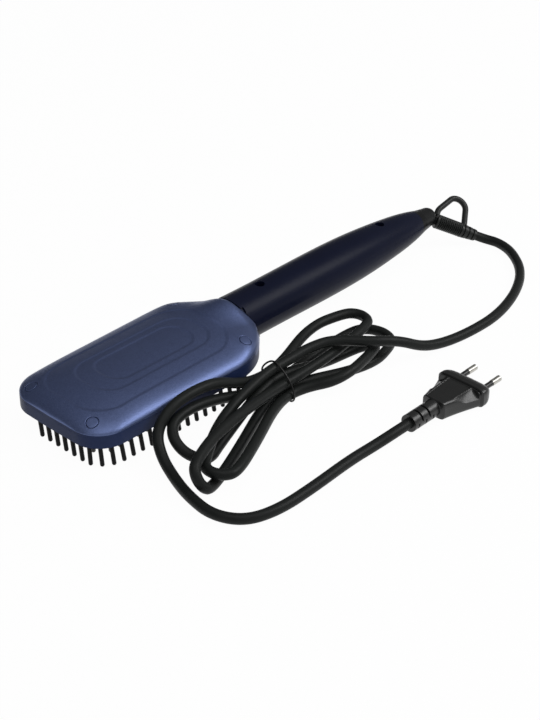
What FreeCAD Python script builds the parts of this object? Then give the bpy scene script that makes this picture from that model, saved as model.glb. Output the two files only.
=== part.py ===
"""Electric hair straightening brush, bristles down on a table, with its cord tied in a hank.

Millimetres. X runs from the head's end to the handle's end, Y across, Z up. The origin is under the
middle of the brush's length, on the plane that the bristle tips stand on.
"""
import FreeCAD
import Part
import math
import os

V = FreeCAD.Vector
X_AXIS = V(1, 0, 0)
Z_AXIS = V(0, 0, 1)

# Lengths along the brush
HEAD_LENGTH = 148.0
HANDLE_LENGTH = 193.0
BALL_OFFSET = 9.0
DOME_R = 7.0

# Head seen from above
END_HALF_WIDTH = 41.0
WIDE_HALF_WIDTH = 43.9
END_BULGE = 0.8
END_BULGE_R = 700.0
CORNER_R = 20.0
SHOULDER_R = 46.0
SHOULDER_SETBACK = 17.5
SHOULDER_LENGTH = 19.5
SHOULDER_END_HALF_WIDTH = 25.6
SHOULDER_END_R = 15.0
NECK_LENGTH = 6.0
NECK_FILLET_R = 6.0
NECK_END_ROUND = 1.0

# Head seen from the side
BRISTLE_REACH = 14.5
FRAME_DEPTH = 7.0
COVER_SIDE = 1.8
COVER_WALL = 1.8
NECK_WALL = 1.6
DOME_RISE = 11.7
DOME_MARGIN = 0.25
DOME_END_RUN = 47.0
DOME_NECK_RUN = 58.0
DOME_DRAW_IN = 16.0
DOME_END_STATIONS = (0.1, 1.5, 4.0, 8.0, 13.0, 19.0, 27.0, 38.0, 52.0)
DOME_NECK_STATIONS = (72.0, 58.0, 47.0, 38.0, 30.0, 23.0, 16.0, 11.0, 7.0, 3.5, 0.0)
RELIEF_STEP = 0.3
RELIEF_RINGS = [(11.5, 19.5, 30.0, 20.0), (28.5, 27.5, 19.3, 15.0), (41.0, 38.0, 13.4, 11.0)]
BELLY_LENGTH = 22.0
BELLY_HALF_WIDTH = 29.0
BELLY_SPANS = 6
BELLY_EDGE = 80.0

# Bristle field
FIELD_LENGTH = 127.5
BRISTLE_PITCH = 7.25
FIRST_COLUMN = 5.8
COLUMNS = 17
TOOTH_ROWS = 4
GUARD_R = 1.35
GUARD_INSET = 3.4
GUARD_LEAN = 1.2
GUARD_SWEEP = 1.2
CORNER_GUARDS = 3
PLATE_RECESS = 1.0
PLATE_THICK = 2.0
LEDGE_WIDTH = 3.2
LEDGE_THICK = 1.5
FIT = 0.2
HEATER_INSET = 10.3
HEATER_PROUD = 0.5
FLANGE_WIDTH = 1.7
FLANGE_THICK = 1.0
TOOTH_ROOT_R = 1.45
TOOTH_END_R = 1.15
TOOTH_LENGTH = 10.0
TIP_R = 1.4
TIP_LENGTH = 3.0

# Heater stack
ELEMENT_LENGTH = 84.0
ELEMENT_WIDTH = 17.0
ELEMENT_THICK = 2.2
ELEMENT_SPACING = 26.0
FILM_THICK = 0.3
FILM_MARGIN = 1.0
CLAMP_THICK = 0.8
CLAMP_OVERHANG = 7.0
CLAMP_SCREW_R = 1.2
CLAMP_HEAD_R = 2.2
CLAMP_HEAD_HEIGHT = 1.0
SHIELD_THICK = 0.4
SHIELD_WIDTH = 40.0
FUSE_R = 1.9
FUSE_LENGTH = 11.0
SENSOR_R = 1.5
SENSOR_LENGTH = 6.0
SENSOR_SPACING = 30.0

# Cover screws
COVER_SCREW_END_INSET = 9.0
COVER_SCREW_END_SPREAD = 54.4
COVER_SCREW_NECK_SETBACK = 17.8
COVER_SCREW_NECK_SPREAD = 64.8
PLUG_R = 3.6
PLUG_GAP = 0.1
WELL_FLOOR = 1.7
BOSS_WALL = 1.3
SCREW_R = 1.45
SCREW_HEAD_R = 2.8
SCREW_HEAD_HEIGHT = 1.8
SCREW_FIT = 0.1
FRAME_BOSS_R = 3.2
BOSS_WEB = 3.0

# Handle
AXIS_Z = 23.0
NECK_R = 16.8
GRIP_R = 16.9
TAIL_R = 16.2
TAPER_R = 14.0
WAIST_R = 11.7
HANDLE_END_R = 8.3
GRIP_AT = 66.0
TAIL_BACK = 67.0
TAPER_BACK = 37.0
WAIST_BACK = 17.0
HANDLE_WALL = 2.6
SEAM_SLOPE = 0.47
SEAM_GAP = 0.15
TONGUE_LENGTH = 5.0
TONGUE_LAP = 24.0
TONGUE_WALL = 2.2
NOTCH_WIDTH = 4.0
NOTCH_LENGTH = 1.6
NOTCH_DEPTH = 1.2
NOTCH_ANGLE = 42.0
HANDLE_SCREW_FIRST = 29.1
HANDLE_SCREW_BACK = 43.9
HANDLE_WELL_R = 3.3
HANDLE_SEAT_RISE = 5.0
HANDLE_SCREW_DROP = 14.0

# Board, switches and buttons
BOARD_GAP = 7.0
BOARD_WIDTH = 20.0
BOARD_THICK = 1.6
BOARD_DROP = 8.2
BOARD_POST_R = 2.6
BOARD_POST_INSET = 6.0
BOARD_SCREW_R = 1.1
BOARD_SCREW_HEAD_R = 2.2
BOARD_SCREW_HEAD_HEIGHT = 1.4
BOARD_SCREW_LENGTH = 6.0
SWITCH_SIDE = 6.0
SWITCH_HEIGHT = 3.1
PLUNGER_R = 1.5
PLUNGER_GAP = 0.3
PLUNGER_IN_SWITCH = 1.2
BUTTON_TRAVEL = 0.8
BUTTON_PROUD = 0.9
BUTTON_GAP = 0.3
BUTTON_FLANGE = 1.2
BUTTON_FLANGE_THICK = 1.2
BUTTON_STEM_R = 2.2
BUTTON_CLEAR = 0.4
POWER_BUTTON_AT = 16.0
POWER_BUTTON_R = 4.6
TEMPERATURE_BUTTON_LENGTH = 14.0
TEMPERATURE_BUTTON_WIDTH = 7.5
LENS_BACK = 15.0
LENS_R = 2.0
LENS_FLANGE_R = 3.0
LENS_FLANGE_THICK = 1.0
LED_HEIGHT = 1.2
LED_SIDE = 3.0
CAPACITOR = (18.0, 8.0, 11.0)
SWITCHING_DEVICE = (10.0, 15.0, 4.5)
DRIVER = (8.0, 6.0, 1.6)
CAPACITOR_BACK = 18.0
SWITCHING_DEVICE_AT = 18.0
DRIVER_AT = 30.0

# Wires inside
WIRE_R = 0.9
WIRE_SPREAD = 7.0
LEAD_BEND_BACK = 5.1
LEAD_END_GAP = 0.8
LEAD_LAP = 12.0

# Swivel, strain relief and hanging loop
BALL_R = 4.5
BALL_GAP = 0.3
NECK_STEM_R = 2.8
STEM_GAP = 0.4
SPIGOT_LENGTH = 7.0
SPIGOT_FIT = 0.1
RETAINER_BACK = 7.0
RETAINER_FRONT = 3.4
RETAINER_BORE_R = 3.3
EXIT_YAW = -41.0
EXIT_DIP = 23.9
RELIEF_START = 7.4
RELIEF_LENGTH = 32.6
RELIEF_BASE_R = 5.35
RELIEF_MID_R = 5.15
RELIEF_END_R = 4.1
FINE_RIBS = 13
FINE_START = 1.2
FINE_PITCH = 1.45
FINE_GROOVE = 0.45
FINE_SHAPE = ((0, 0), (0.25, 1), (0.55, 1), (0.8, 0))
COARSE_RIBS = 3
COARSE_START = 21.5
COARSE_PITCH = 3.7
COARSE_GROOVE_WIDTH = 1.2
COARSE_GROOVE = 0.9
LOOP_R = 2.2
LOOP_LEAN = 60.0
LOOP_BASE = 2.6
LOOP_BEND = (-0.8, 8.8, 6.0)
LOOP_PEAK = (23.8, 40.6, 6.8)
LOOP_END = 23.2
LOOP_SEAT = 0.1
LOOP_SEAT_BACK = 3.0

# Cord
CORD_R = 3.4
WAIST = V(-44.5, -57.5, 0)
WAIST_RUN = 11.0
TIE_R = 0.45
TIE_GAP = 0.15
LAYER_RISE = 7.25
PASS_LOW = 4.5
RUN_SHARE = 0.45
HANK_SHARE = 0.5
JOIN_SHARE = 0.28
CORD_POINTS_STEP = 1.5
CORD_NEIGHBOUR = 25.0

# Plug
PLUG_HEIGHT = 13.7
PLUG_WIDTH = 35.3
PLUG_FACE = V(39.2, -141.2, PLUG_HEIGHT / 2)
PLUG_BAND = 9.2
PLUG_BODY_LENGTH = 27.5
PLUG_STEP = 1.0
PLUG_FLARE_INSET = 1.5
PLUG_WAIST_SHARE = 0.35
PLUG_FLARE_SHARE = 0.75
PLUG_WAIST_WIDTH = 21.0
PLUG_NECK_WIDTH = 17.0
PLUG_NECK_HEIGHT = 12.6
PLUG_EDGE_R = 4.0
PLUG_RELIEF_LENGTH = 23.0
PLUG_RELIEF_R = 5.7
PLUG_RING_GAP = 1.1
PLUG_RING_GROOVE = 0.9
PLUG_RINGS = 3
PIN_R = 2.0
PIN_CORE_R = 1.3
PIN_SPACING = 18.6
PIN_LENGTH = 19.0
SLEEVE_LENGTH = 10.0
SLEEVE_R = 1.8
PIN_DEPTH = 8.0
PIN_FIT = 0.05
PIN_NOSE = 1.0

# Stations and levels worked out from the sizes above
OVERALL = HEAD_LENGTH + HANDLE_LENGTH + BALL_OFFSET + DOME_R
HEAD_END = -OVERALL / 2
SEAM_X = HEAD_END + HEAD_LENGTH
CAP_X = SEAM_X + HANDLE_LENGTH
BALL = V(CAP_X + BALL_OFFSET, 0, AXIS_Z)
SHOULDER_X = SEAM_X - SHOULDER_SETBACK
SHOULDER_END_X = SHOULDER_X + SHOULDER_LENGTH
NECK_X = SHOULDER_END_X + NECK_LENGTH
DOME_START = HEAD_END + END_BULGE
RIM_Z = BRISTLE_REACH
PART_Z = RIM_Z + FRAME_DEPTH
CREASE_Z = PART_Z + COVER_SIDE
PLATEAU_Z = CREASE_Z + DOME_RISE
FIELD_END = HEAD_END + FIELD_LENGTH
PLATE_Z = RIM_Z + PLATE_RECESS
PLATE_TOP = PLATE_Z + PLATE_THICK
LEDGE_TOP = PLATE_TOP + LEDGE_THICK
LEDGE_INSET = COVER_WALL + LEDGE_WIDTH
HEATER_Z = PLATE_Z - HEATER_PROUD
HEATER_TOP = PLATE_TOP + FLANGE_THICK
BORE_R = NECK_R - NECK_WALL
TONGUE_R = BORE_R - FIT
BOARD_Z = AXIS_Z - BOARD_DROP
BOARD_TOP = BOARD_Z + BOARD_THICK
HANDLE_SCREWS = [SEAM_X + HANDLE_SCREW_FIRST, CAP_X - HANDLE_SCREW_BACK]
BOARD_X = HANDLE_SCREWS[0] + HANDLE_WELL_R + BOSS_WALL + BOARD_GAP
BOARD_LENGTH = HANDLE_SCREWS[1] - HANDLE_WELL_R - BOSS_WALL - BOARD_GAP - BOARD_X
FAR = 80.0
PAST = 1.0
LEAST_RUN = 1e-4
LEAST_RISE = 0.3


def save(name, *solids):
    """Write one node, as a solid or as a group of separate solids."""
    shape = solids[0] if len(solids) == 1 else Part.makeCompound(list(solids))
    shape.exportStep("parts/" + name + ".step")
    print(name, "solids", len(shape.Solids), "volume", round(shape.Volume, 1), "valid", shape.isValid())


def box(x0, x1, y0, y1, z0, z1):
    return Part.makeBox(x1 - x0, y1 - y0, z1 - z0, V(x0, y0, z0))


def post(x, y, z0, z1, radius):
    """Upright cylinder between two levels."""
    return Part.makeCylinder(radius, z1 - z0, V(x, y, z0))


def bar(x0, x1, radius, y=0.0, z=AXIS_Z):
    """Cylinder along X between two stations."""
    return Part.makeCylinder(radius, x1 - x0, V(x0, y, z), X_AXIS)


def rounded_wire(corners, z):
    """Closed wire through corners (x, y, radius), each rounded by a tangent arc."""
    spans = []
    for i, (x, y, radius) in enumerate(corners):
        here = V(x, y, z)
        before = (V(corners[i - 1][0], corners[i - 1][1], z) - here).normalize()
        following = corners[(i + 1) % len(corners)]
        after = (V(following[0], following[1], z) - here).normalize()
        half_turn = (math.pi - before.getAngle(after)) / 2
        reach = radius * math.tan(half_turn)
        inward = (before + after).normalize()
        middle = here + inward * (radius / math.cos(half_turn) - radius)
        spans.append((here + before * reach, middle, here + after * reach))
    edges = []
    for i, (start, middle, end) in enumerate(spans):
        edges.append(Part.Arc(start, middle, end).toShape())
        edges.append(Part.LineSegment(end, spans[(i + 1) % len(spans)][0]).toShape())
    return Part.Wire(edges)


def inset_corners(corners, inset):
    """Corners of a counter-clockwise outline moved inwards, with their radii changed to stay parallel."""
    moved = []
    for i, (x, y, radius) in enumerate(corners):
        x0, y0, _ = corners[i - 1]
        x1, y1, _ = corners[(i + 1) % len(corners)]
        ux, uy = x - x0, y - y0
        vx, vy = x1 - x, y1 - y
        u_length, v_length = math.hypot(ux, uy), math.hypot(vx, vy)
        ux, uy, vx, vy = ux / u_length, uy / u_length, vx / v_length, vy / v_length
        turn = math.atan2(ux * vy - uy * vx, ux * vx + uy * vy)
        along = inset * math.tan(turn / 2)
        moved.append((x - uy * inset - ux * along, y + ux * inset - uy * along,
                      radius - math.copysign(inset, turn)))
    return moved


def head_corners():
    """Head and neck from above: bulged end, round corners, slightly widening sides, shoulders, neck."""
    neck_end = NECK_X + TONGUE_LAP
    bulge_cut = END_BULGE_R * (math.hypot(1, END_BULGE / END_HALF_WIDTH) - 1)
    lower = [(HEAD_END - bulge_cut, 0, END_BULGE_R),
             (HEAD_END + END_BULGE, -END_HALF_WIDTH, CORNER_R),
             (SHOULDER_X, -WIDE_HALF_WIDTH, SHOULDER_R),
             (SHOULDER_END_X, -SHOULDER_END_HALF_WIDTH, SHOULDER_END_R),
             (NECK_X, -NECK_R, NECK_FILLET_R),
             (neck_end, -NECK_R, HEATER_INSET + NECK_END_ROUND)]
    upper = [(x, -y, radius) for x, y, radius in reversed(lower[1:])]
    return lower + upper


def head_wire(inset, z):
    return rounded_wire(inset_corners(head_corners(), inset), z)


def head_prism(inset, z0, z1):
    """Block with the head's plan, moved inwards by the inset."""
    return Part.Face(head_wire(inset, z0)).extrude(V(0, 0, z1 - z0))


def field_prism(inset, z0, z1):
    """Part of that block within the bristle field, with the same inset from the field's end."""
    return head_prism(inset, z0, z1).common(box(HEAD_END, FIELD_END - inset, -FAR, FAR, z0, z1))


def half_width(x, inset):
    """Half width of the head's inset plan at a station."""
    return Part.Face(head_wire(inset, 0)).common(Part.makeLine(V(x, 0, 0), V(x, FAR, 0))).Length


def eased(share):
    """Smooth step from 0 to 1."""
    share = min(max(share, 0.0), 1.0)
    return share * share * (3 - 2 * share)


def dome(inset):
    """Domed back: half-ellipse sections as wide as the plan, under a crest from the end to the round neck."""
    foot = PART_Z - (PAST if inset else 0)
    start = DOME_START + inset
    stations = [start + run for run in DOME_END_STATIONS] + [NECK_X - run for run in DOME_NECK_STATIONS]
    wires = []
    for x in sorted(stations):
        end_share = min((x - start) / DOME_END_RUN, 1.0)
        neck_share = eased(1 - (SEAM_X - x) / DOME_NECK_RUN)
        wide = half_width(x, inset + DOME_MARGIN)
        half = wide + eased(1 - (NECK_X - x) / DOME_DRAW_IN) * (NECK_R - inset - wide)
        side = CREASE_Z + neck_share * (AXIS_Z - CREASE_Z)
        rise = DOME_RISE * math.sqrt(1 - (1 - end_share) ** 2) + neck_share * (AXIS_Z + NECK_R - PLATEAU_Z)
        rise = max(rise - inset, LEAST_RISE)
        middle, left, right = V(x, 0, side), V(x, -half, side), V(x, half, side)
        arch = Part.ArcOfEllipse(Part.Ellipse(right, middle + Z_AXIS * rise, middle), 0, math.pi)
        foot_left, foot_right = V(x, -half, foot), V(x, half, foot)
        wires.append(Part.Wire([arch.toShape(), Part.LineSegment(left, foot_left).toShape(),
                                Part.LineSegment(foot_left, foot_right).toShape(),
                                Part.LineSegment(foot_right, right).toShape()]))
    return Part.makeLoft(wires, True, False)


def neck_belly(inset, z_wall):
    """Loft along X under the parting line, from a wide low arch to the round neck."""
    arch_side = NECK_R - inset
    edge = math.radians(BELLY_EDGE)
    level = PART_Z - COVER_SIDE
    wires = []
    for step in range(BELLY_SPANS + 1):
        share = step / BELLY_SPANS
        half = BELLY_HALF_WIDTH - inset
        half += eased(share) * (arch_side * math.sin(edge) - half)
        side = level + eased(share) * (AXIS_Z - arch_side * math.cos(edge) - level)
        low = RIM_Z + inset + eased(share) * (AXIS_Z - arch_side - RIM_Z - inset)
        x = SEAM_X - BELLY_LENGTH * (1 - share)
        left, right = V(x, -half, side), V(x, half, side)
        foot_right, foot_left = V(x, half, z_wall), V(x, -half, z_wall)
        wires.append(Part.Wire([Part.Arc(left, V(x, 0, low), right).toShape(),
                                Part.LineSegment(right, foot_right).toShape(),
                                Part.LineSegment(foot_right, foot_left).toShape(),
                                Part.LineSegment(foot_left, left).toShape()]))
    return Part.makeLoft(wires, True, False)


def beyond_seam(shift):
    """All space past the slanted seam between the head's neck and the handle."""
    def at(z):
        return SEAM_X + shift + SEAM_SLOPE * (AXIS_Z + NECK_R - z)
    corners = [V(at(FAR), -FAR, FAR), V(at(-FAR), -FAR, -FAR), V(OVERALL, -FAR, -FAR), V(OVERALL, -FAR, FAR)]
    return Part.Face(Part.makePolygon(corners + corners[:1])).extrude(V(0, 2 * FAR, 0))


def cover_screw_places():
    """The four screws that hold the cover on the frame."""
    end_x = HEAD_END + COVER_SCREW_END_INSET
    neck_x = SEAM_X - COVER_SCREW_NECK_SETBACK
    return [(end_x, side * COVER_SCREW_END_SPREAD / 2) for side in (-1, 1)] + \
           [(neck_x, side * COVER_SCREW_NECK_SPREAD / 2) for side in (-1, 1)]


def relief_prism(from_end, from_seam, half, radius):
    """Upright block over one ring of the back's relief."""
    x0, x1 = HEAD_END + from_end, SEAM_X - from_seam
    corners = [(x0, -half, radius), (x1, -half, radius), (x1, half, radius), (x0, half, radius)]
    return Part.Face(rounded_wire(corners, PART_Z)).extrude(V(0, 0, FAR))


def head_outside():
    """Whole outer form of the head and neck, still one block."""
    neck = bar(SEAM_X, NECK_X + TONGUE_LAP, NECK_R)
    return head_prism(0, RIM_Z, CREASE_Z).fuse([dome(0), neck_belly(0, PART_Z), neck]).cut(beyond_seam(0))


def cover_hollows():
    """Room under the cover: between its walls, under the dome, and the neck's bore."""
    bore = bar(SEAM_X - TONGUE_LENGTH - FIT, NECK_X + FAR, BORE_R)
    return [head_prism(COVER_WALL, RIM_Z - PAST, CREASE_Z), dome(COVER_WALL), bore]


OUTSIDE = head_outside()
ABOVE = box(-OVERALL, OVERALL, -FAR, FAR, PART_Z, FAR)
BELOW = box(-OVERALL, OVERALL, -FAR, FAR, -FAR, PART_Z)
SEAT_Z = PART_Z + WELL_FLOOR
SCREW_END_Z = LEDGE_TOP


def head_back_cover():
    """Thin domed shell over the head's back, with three recessed rings and four screw wells."""
    shell = OUTSIDE.common(ABOVE)
    for count, ring in enumerate(RELIEF_RINGS):
        lowered = OUTSIDE.copy()
        lowered.translate(Z_AXIS * -RELIEF_STEP * (count + 1))
        shell = shell.cut(relief_prism(*ring).cut(lowered))
    outer = shell.copy()
    for hollow in cover_hollows():
        shell = shell.cut(hollow)
    for x, y in cover_screw_places():
        boss = post(x, y, PART_Z, PLATEAU_Z + FAR, PLUG_R + PLUG_GAP + BOSS_WALL).common(outer)
        well = post(x, y, SEAT_Z, PLATEAU_Z + FAR, PLUG_R + PLUG_GAP)
        shell = shell.fuse(boss).cut([well, post(x, y, PART_Z - PAST, FAR, SCREW_R + SCREW_FIT)])
    return shell.removeSplitter(), outer


def cover_screws():
    """Pan-head screws standing on the wells' floors."""
    screws = []
    for x, y in cover_screw_places():
        head = post(x, y, SEAT_Z, SEAT_Z + SCREW_HEAD_HEIGHT, SCREW_HEAD_R)
        screws.append(head.fuse(post(x, y, SCREW_END_Z, SEAT_Z, SCREW_R)).removeSplitter())
    return screws


def cover_plugs(outer):
    """Press-in plugs over the screws, flush with the cover."""
    start = SEAT_Z + SCREW_HEAD_HEIGHT
    return [post(x, y, start, FAR, PLUG_R).common(outer) for x, y in cover_screw_places()]


def head_frame():
    """Rim that carries the bristle field, with a ledge above it and the lower half of the neck."""
    frame = OUTSIDE.common(BELOW)
    pocket = field_prism(COVER_WALL, RIM_Z - PAST, PLATE_TOP)
    window = field_prism(LEDGE_INSET, PLATE_TOP, LEDGE_TOP)
    room = head_prism(COVER_WALL, LEDGE_TOP, FAR)
    behind = head_prism(COVER_WALL, RIM_Z + COVER_WALL, FAR)
    behind = behind.common(box(FIELD_END + COVER_WALL, OVERALL, -FAR, FAR, 0, FAR))
    belly = neck_belly(COVER_WALL, PART_Z + PAST)
    bore = bar(SEAM_X - TONGUE_LENGTH - FIT, NECK_X + FAR, BORE_R)
    outer = frame.copy()
    frame = frame.cut([pocket, window, room, behind, belly, bore])
    for x, y in cover_screw_places():
        on_field = x < FIELD_END
        foot = HEATER_TOP + FIT if on_field else RIM_Z + COVER_WALL / 2
        boss = post(x, y, foot, PART_Z, FRAME_BOSS_R)
        if on_field:
            boss = boss.fuse(box(HEAD_END, x, y - BOSS_WEB / 2, y + BOSS_WEB / 2, foot, PART_Z))
        frame = frame.fuse(boss.common(outer))
        frame = frame.cut(post(x, y, SCREW_END_Z - FIT, FAR, SCREW_R + SCREW_FIT))
    return frame.removeSplitter()


def column_x(column):
    return HEAD_END + FIRST_COLUMN + column * BRISTLE_PITCH


def guard_roots():
    """Roots of the guard bristles and the way each leans: end rows, near corner and both sides."""
    roots = []
    last = COLUMNS - 1
    for row in range(-TOOTH_ROWS + 1, TOOTH_ROWS - 1):
        roots.append((HEAD_END + GUARD_INSET, row * BRISTLE_PITCH, 0, 0))
    for row in range(-TOOTH_ROWS, TOOTH_ROWS + 1):
        roots.append((column_x(last), row * BRISTLE_PITCH, 0, 0))
    for side in (-1, 1):
        for column in range(2, last + 1):
            roots.append((column_x(column), side * half_width(column_x(column), GUARD_INSET), 0, side))
    corner = inset_corners(head_corners(), CORNER_R)[1]
    radius = CORNER_R - GUARD_INSET
    for i in range(CORNER_GUARDS):
        angle = math.pi / 2 * (i + 1) / (CORNER_GUARDS + 1)
        c, s = math.cos(angle), math.sin(angle)
        roots.append((corner[0] - radius * c, corner[1] - radius * s, -c, -s))
    return roots


def guard_bristle(x, y, lean_x, lean_y):
    """Round-ended nylon bristle from the carrier plate to the table, leaning outwards and to the handle."""
    tip = V(x + lean_x * GUARD_LEAN + GUARD_SWEEP, y + lean_y * GUARD_LEAN, GUARD_R)
    axis = V(x, y, PLATE_Z) - tip
    rod = Part.makeCylinder(GUARD_R, axis.Length + GUARD_R, tip, axis)
    below_plate = box(x - FAR, x + FAR, y - FAR, y + FAR, -FAR, PLATE_Z)
    return rod.fuse(Part.makeSphere(GUARD_R, tip)).common(below_plate).removeSplitter()


def tooth_places():
    """Grid of heated teeth inside the heater plate's edge."""
    corner = inset_corners(head_corners(), CORNER_R)[1]
    room = CORNER_R - HEATER_INSET - TOOTH_ROOT_R
    places = []
    for column in range(1, COLUMNS - 1):
        for row in range(-TOOTH_ROWS, TOOTH_ROWS + 1):
            x, y = column_x(column), row * BRISTLE_PITCH
            into_corner = math.hypot(min(0, x - corner[0]), max(0, abs(y) - abs(corner[1])))
            if into_corner < room:
                places.append((x, y))
    return places


def heated_tooth(x, y):
    """Tapered tooth from the heater plate down to its tip."""
    return Part.makeCone(TOOTH_END_R, TOOTH_ROOT_R, TOOTH_LENGTH, V(x, y, HEATER_Z - TOOTH_LENGTH))


def tooth_tip(x, y):
    """Cool cap on the end of a tooth, with a round nose."""
    top = HEATER_Z - TOOTH_LENGTH
    nose = top - TIP_LENGTH + TIP_R
    return post(x, y, nose, top, TIP_R).fuse(Part.makeSphere(TIP_R, V(x, y, nose))).removeSplitter()


FIELD_MIDDLE = (HEAD_END + FIELD_END) / 2
ELEMENT_X = (FIELD_MIDDLE - ELEMENT_LENGTH / 2, FIELD_MIDDLE + ELEMENT_LENGTH / 2)
ELEMENT_TOP = HEATER_TOP + ELEMENT_THICK
FILM_TOP = ELEMENT_TOP + FILM_THICK
CLAMP_TOP = FILM_TOP + CLAMP_THICK
SHIELD_Z = CLAMP_TOP + CLAMP_HEAD_HEIGHT


def clamp_screw_places():
    reach = ELEMENT_LENGTH / 2 + CLAMP_OVERHANG / 2
    return [(FIELD_MIDDLE + end * reach, side * ELEMENT_SPACING / 2) for end in (-1, 1) for side in (-1, 1)]


def heater_plate():
    """Plate in the carrier's window, hung on the carrier by its flange."""
    plate = field_prism(HEATER_INSET, HEATER_Z, PLATE_TOP)
    plate = plate.fuse(field_prism(HEATER_INSET - FLANGE_WIDTH, PLATE_TOP, HEATER_TOP)).removeSplitter()
    holes = [post(x, y, PLATE_TOP - FIT, FAR, CLAMP_SCREW_R + PIN_FIT) for x, y in clamp_screw_places()]
    return plate.cut(holes)


def bristle_plate():
    """Carrier of the guard bristles, a frame round the heater plate, snapped in under the ledge."""
    carrier = field_prism(COVER_WALL + FIT, PLATE_Z, PLATE_TOP)
    return carrier.cut(field_prism(HEATER_INSET - FIT, PLATE_Z - PAST, PLATE_TOP + PAST))


def strip(length, width, z0, z1):
    """Pair of flat strips over the two heating elements."""
    pair = []
    for side in (-1, 1):
        y = side * ELEMENT_SPACING / 2
        pair.append(box(FIELD_MIDDLE - length / 2, FIELD_MIDDLE + length / 2,
                        y - width / 2, y + width / 2, z0, z1))
    return pair


def heater_clamps():
    clamps = strip(ELEMENT_LENGTH + 2 * CLAMP_OVERHANG, ELEMENT_WIDTH, FILM_TOP, CLAMP_TOP)
    holes = [post(x, y, 0, FAR, CLAMP_SCREW_R + PIN_FIT) for x, y in clamp_screw_places()]
    return [clamp.cut(holes) for clamp in clamps]


def clamp_screws():
    screws = []
    for x, y in clamp_screw_places():
        head = post(x, y, CLAMP_TOP, SHIELD_Z, CLAMP_HEAD_R)
        screws.append(head.fuse(post(x, y, PLATE_TOP, CLAMP_TOP, CLAMP_SCREW_R)).removeSplitter())
    return screws


def handle_radius_curve(inset):
    """Side line of the handle: nearly straight grip, then a taper to the end cap."""
    stations = [(SEAM_X, NECK_R), (SEAM_X + GRIP_AT, GRIP_R), (CAP_X - TAIL_BACK, TAIL_R),
                (CAP_X - TAPER_BACK, TAPER_R), (CAP_X - WAIST_BACK, WAIST_R), (CAP_X, HANDLE_END_R)]
    curve = Part.BSplineCurve()
    curve.interpolate([V(x, 0, AXIS_Z + radius - inset) for x, radius in stations])
    return curve.toShape()


def handle_round(inset):
    """Solid of revolution under that side line."""
    side = handle_radius_curve(inset)
    start, end = side.valueAt(side.FirstParameter), side.valueAt(side.LastParameter)
    foot_start, foot_end = V(start.x, 0, AXIS_Z), V(end.x, 0, AXIS_Z)
    face = Part.Face(Part.Wire([side, Part.LineSegment(end, foot_end).toShape(),
                                Part.LineSegment(foot_end, foot_start).toShape(),
                                Part.LineSegment(foot_start, start).toShape()]))
    return face.revolve(V(0, 0, AXIS_Z), X_AXIS, 360)


HANDLE_OUTSIDE = handle_round(0).common(beyond_seam(SEAM_GAP))
HANDLE_INSIDE = handle_round(HANDLE_WALL)
TONGUE_END = SEAM_X + SEAM_SLOPE * 2 * NECK_R + SEAM_GAP
HANDLE_SEAT_Z = AXIS_Z + HANDLE_SEAT_RISE


def handle_half(upper):
    """Half of the hollow handle with half of the tongue that plugs into the head's neck."""
    tongue = bar(SEAM_X - TONGUE_LENGTH, TONGUE_END + FIT, TONGUE_R)
    hollow = bar(SEAM_X - TONGUE_LENGTH - PAST, TONGUE_END + TONGUE_WALL, TONGUE_R - TONGUE_WALL)
    past_tongue = box(TONGUE_END + FIT, OVERALL, -FAR, FAR, -FAR, FAR)
    body = HANDLE_OUTSIDE.cut(HANDLE_INSIDE).fuse(tongue).cut([hollow, HANDLE_INSIDE.common(past_tongue)])
    half = box(-OVERALL, OVERALL, -FAR, FAR, AXIS_Z if upper else -FAR, FAR if upper else AXIS_Z)
    return body.common(half)


def handle_rear_shell():
    """Upper half, with two screw wells and two small notches at the seam."""
    shell = handle_half(True)
    for x in HANDLE_SCREWS:
        boss = post(x, 0, AXIS_Z, FAR, HANDLE_WELL_R + BOSS_WALL).common(HANDLE_OUTSIDE)
        shell = shell.fuse(boss)
        shell = shell.cut([post(x, 0, HANDLE_SEAT_Z, FAR, HANDLE_WELL_R),
                           post(x, 0, AXIS_Z - PAST, FAR, SCREW_R + SCREW_FIT)])
    for side in (-1, 1):
        angle = math.radians(NOTCH_ANGLE)
        height = AXIS_Z + NECK_R * math.cos(angle)
        at_seam = SEAM_X + SEAM_GAP + SEAM_SLOPE * (AXIS_Z + NECK_R - height)
        notch = box(at_seam - NOTCH_LENGTH, at_seam + NOTCH_LENGTH, -NOTCH_WIDTH / 2, NOTCH_WIDTH / 2,
                    NECK_R - NOTCH_DEPTH, NECK_R + NOTCH_DEPTH)
        notch.rotate(V(0, 0, 0), X_AXIS, -side * NOTCH_ANGLE)
        notch.translate(V(0, 0, AXIS_Z))
        shell = shell.cut(notch)
    return shell.removeSplitter()


POWER_X = BOARD_X + POWER_BUTTON_AT
LENS_X = BOARD_X + BOARD_LENGTH - LENS_BACK
TEMPERATURE_X = (POWER_X + LENS_X) / 2
SWITCH_Z = BOARD_Z - SWITCH_HEIGHT
STEM_TOP = SWITCH_Z - BUTTON_TRAVEL - BUTTON_CLEAR


def board_post_places():
    return [BOARD_X + BOARD_POST_INSET, BOARD_X + BOARD_LENGTH - BOARD_POST_INSET]


def power_cap(margin, z0, z1):
    """Round button's section, grown by a margin."""
    return post(POWER_X, 0, z0, z1, POWER_BUTTON_R + margin)


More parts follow.
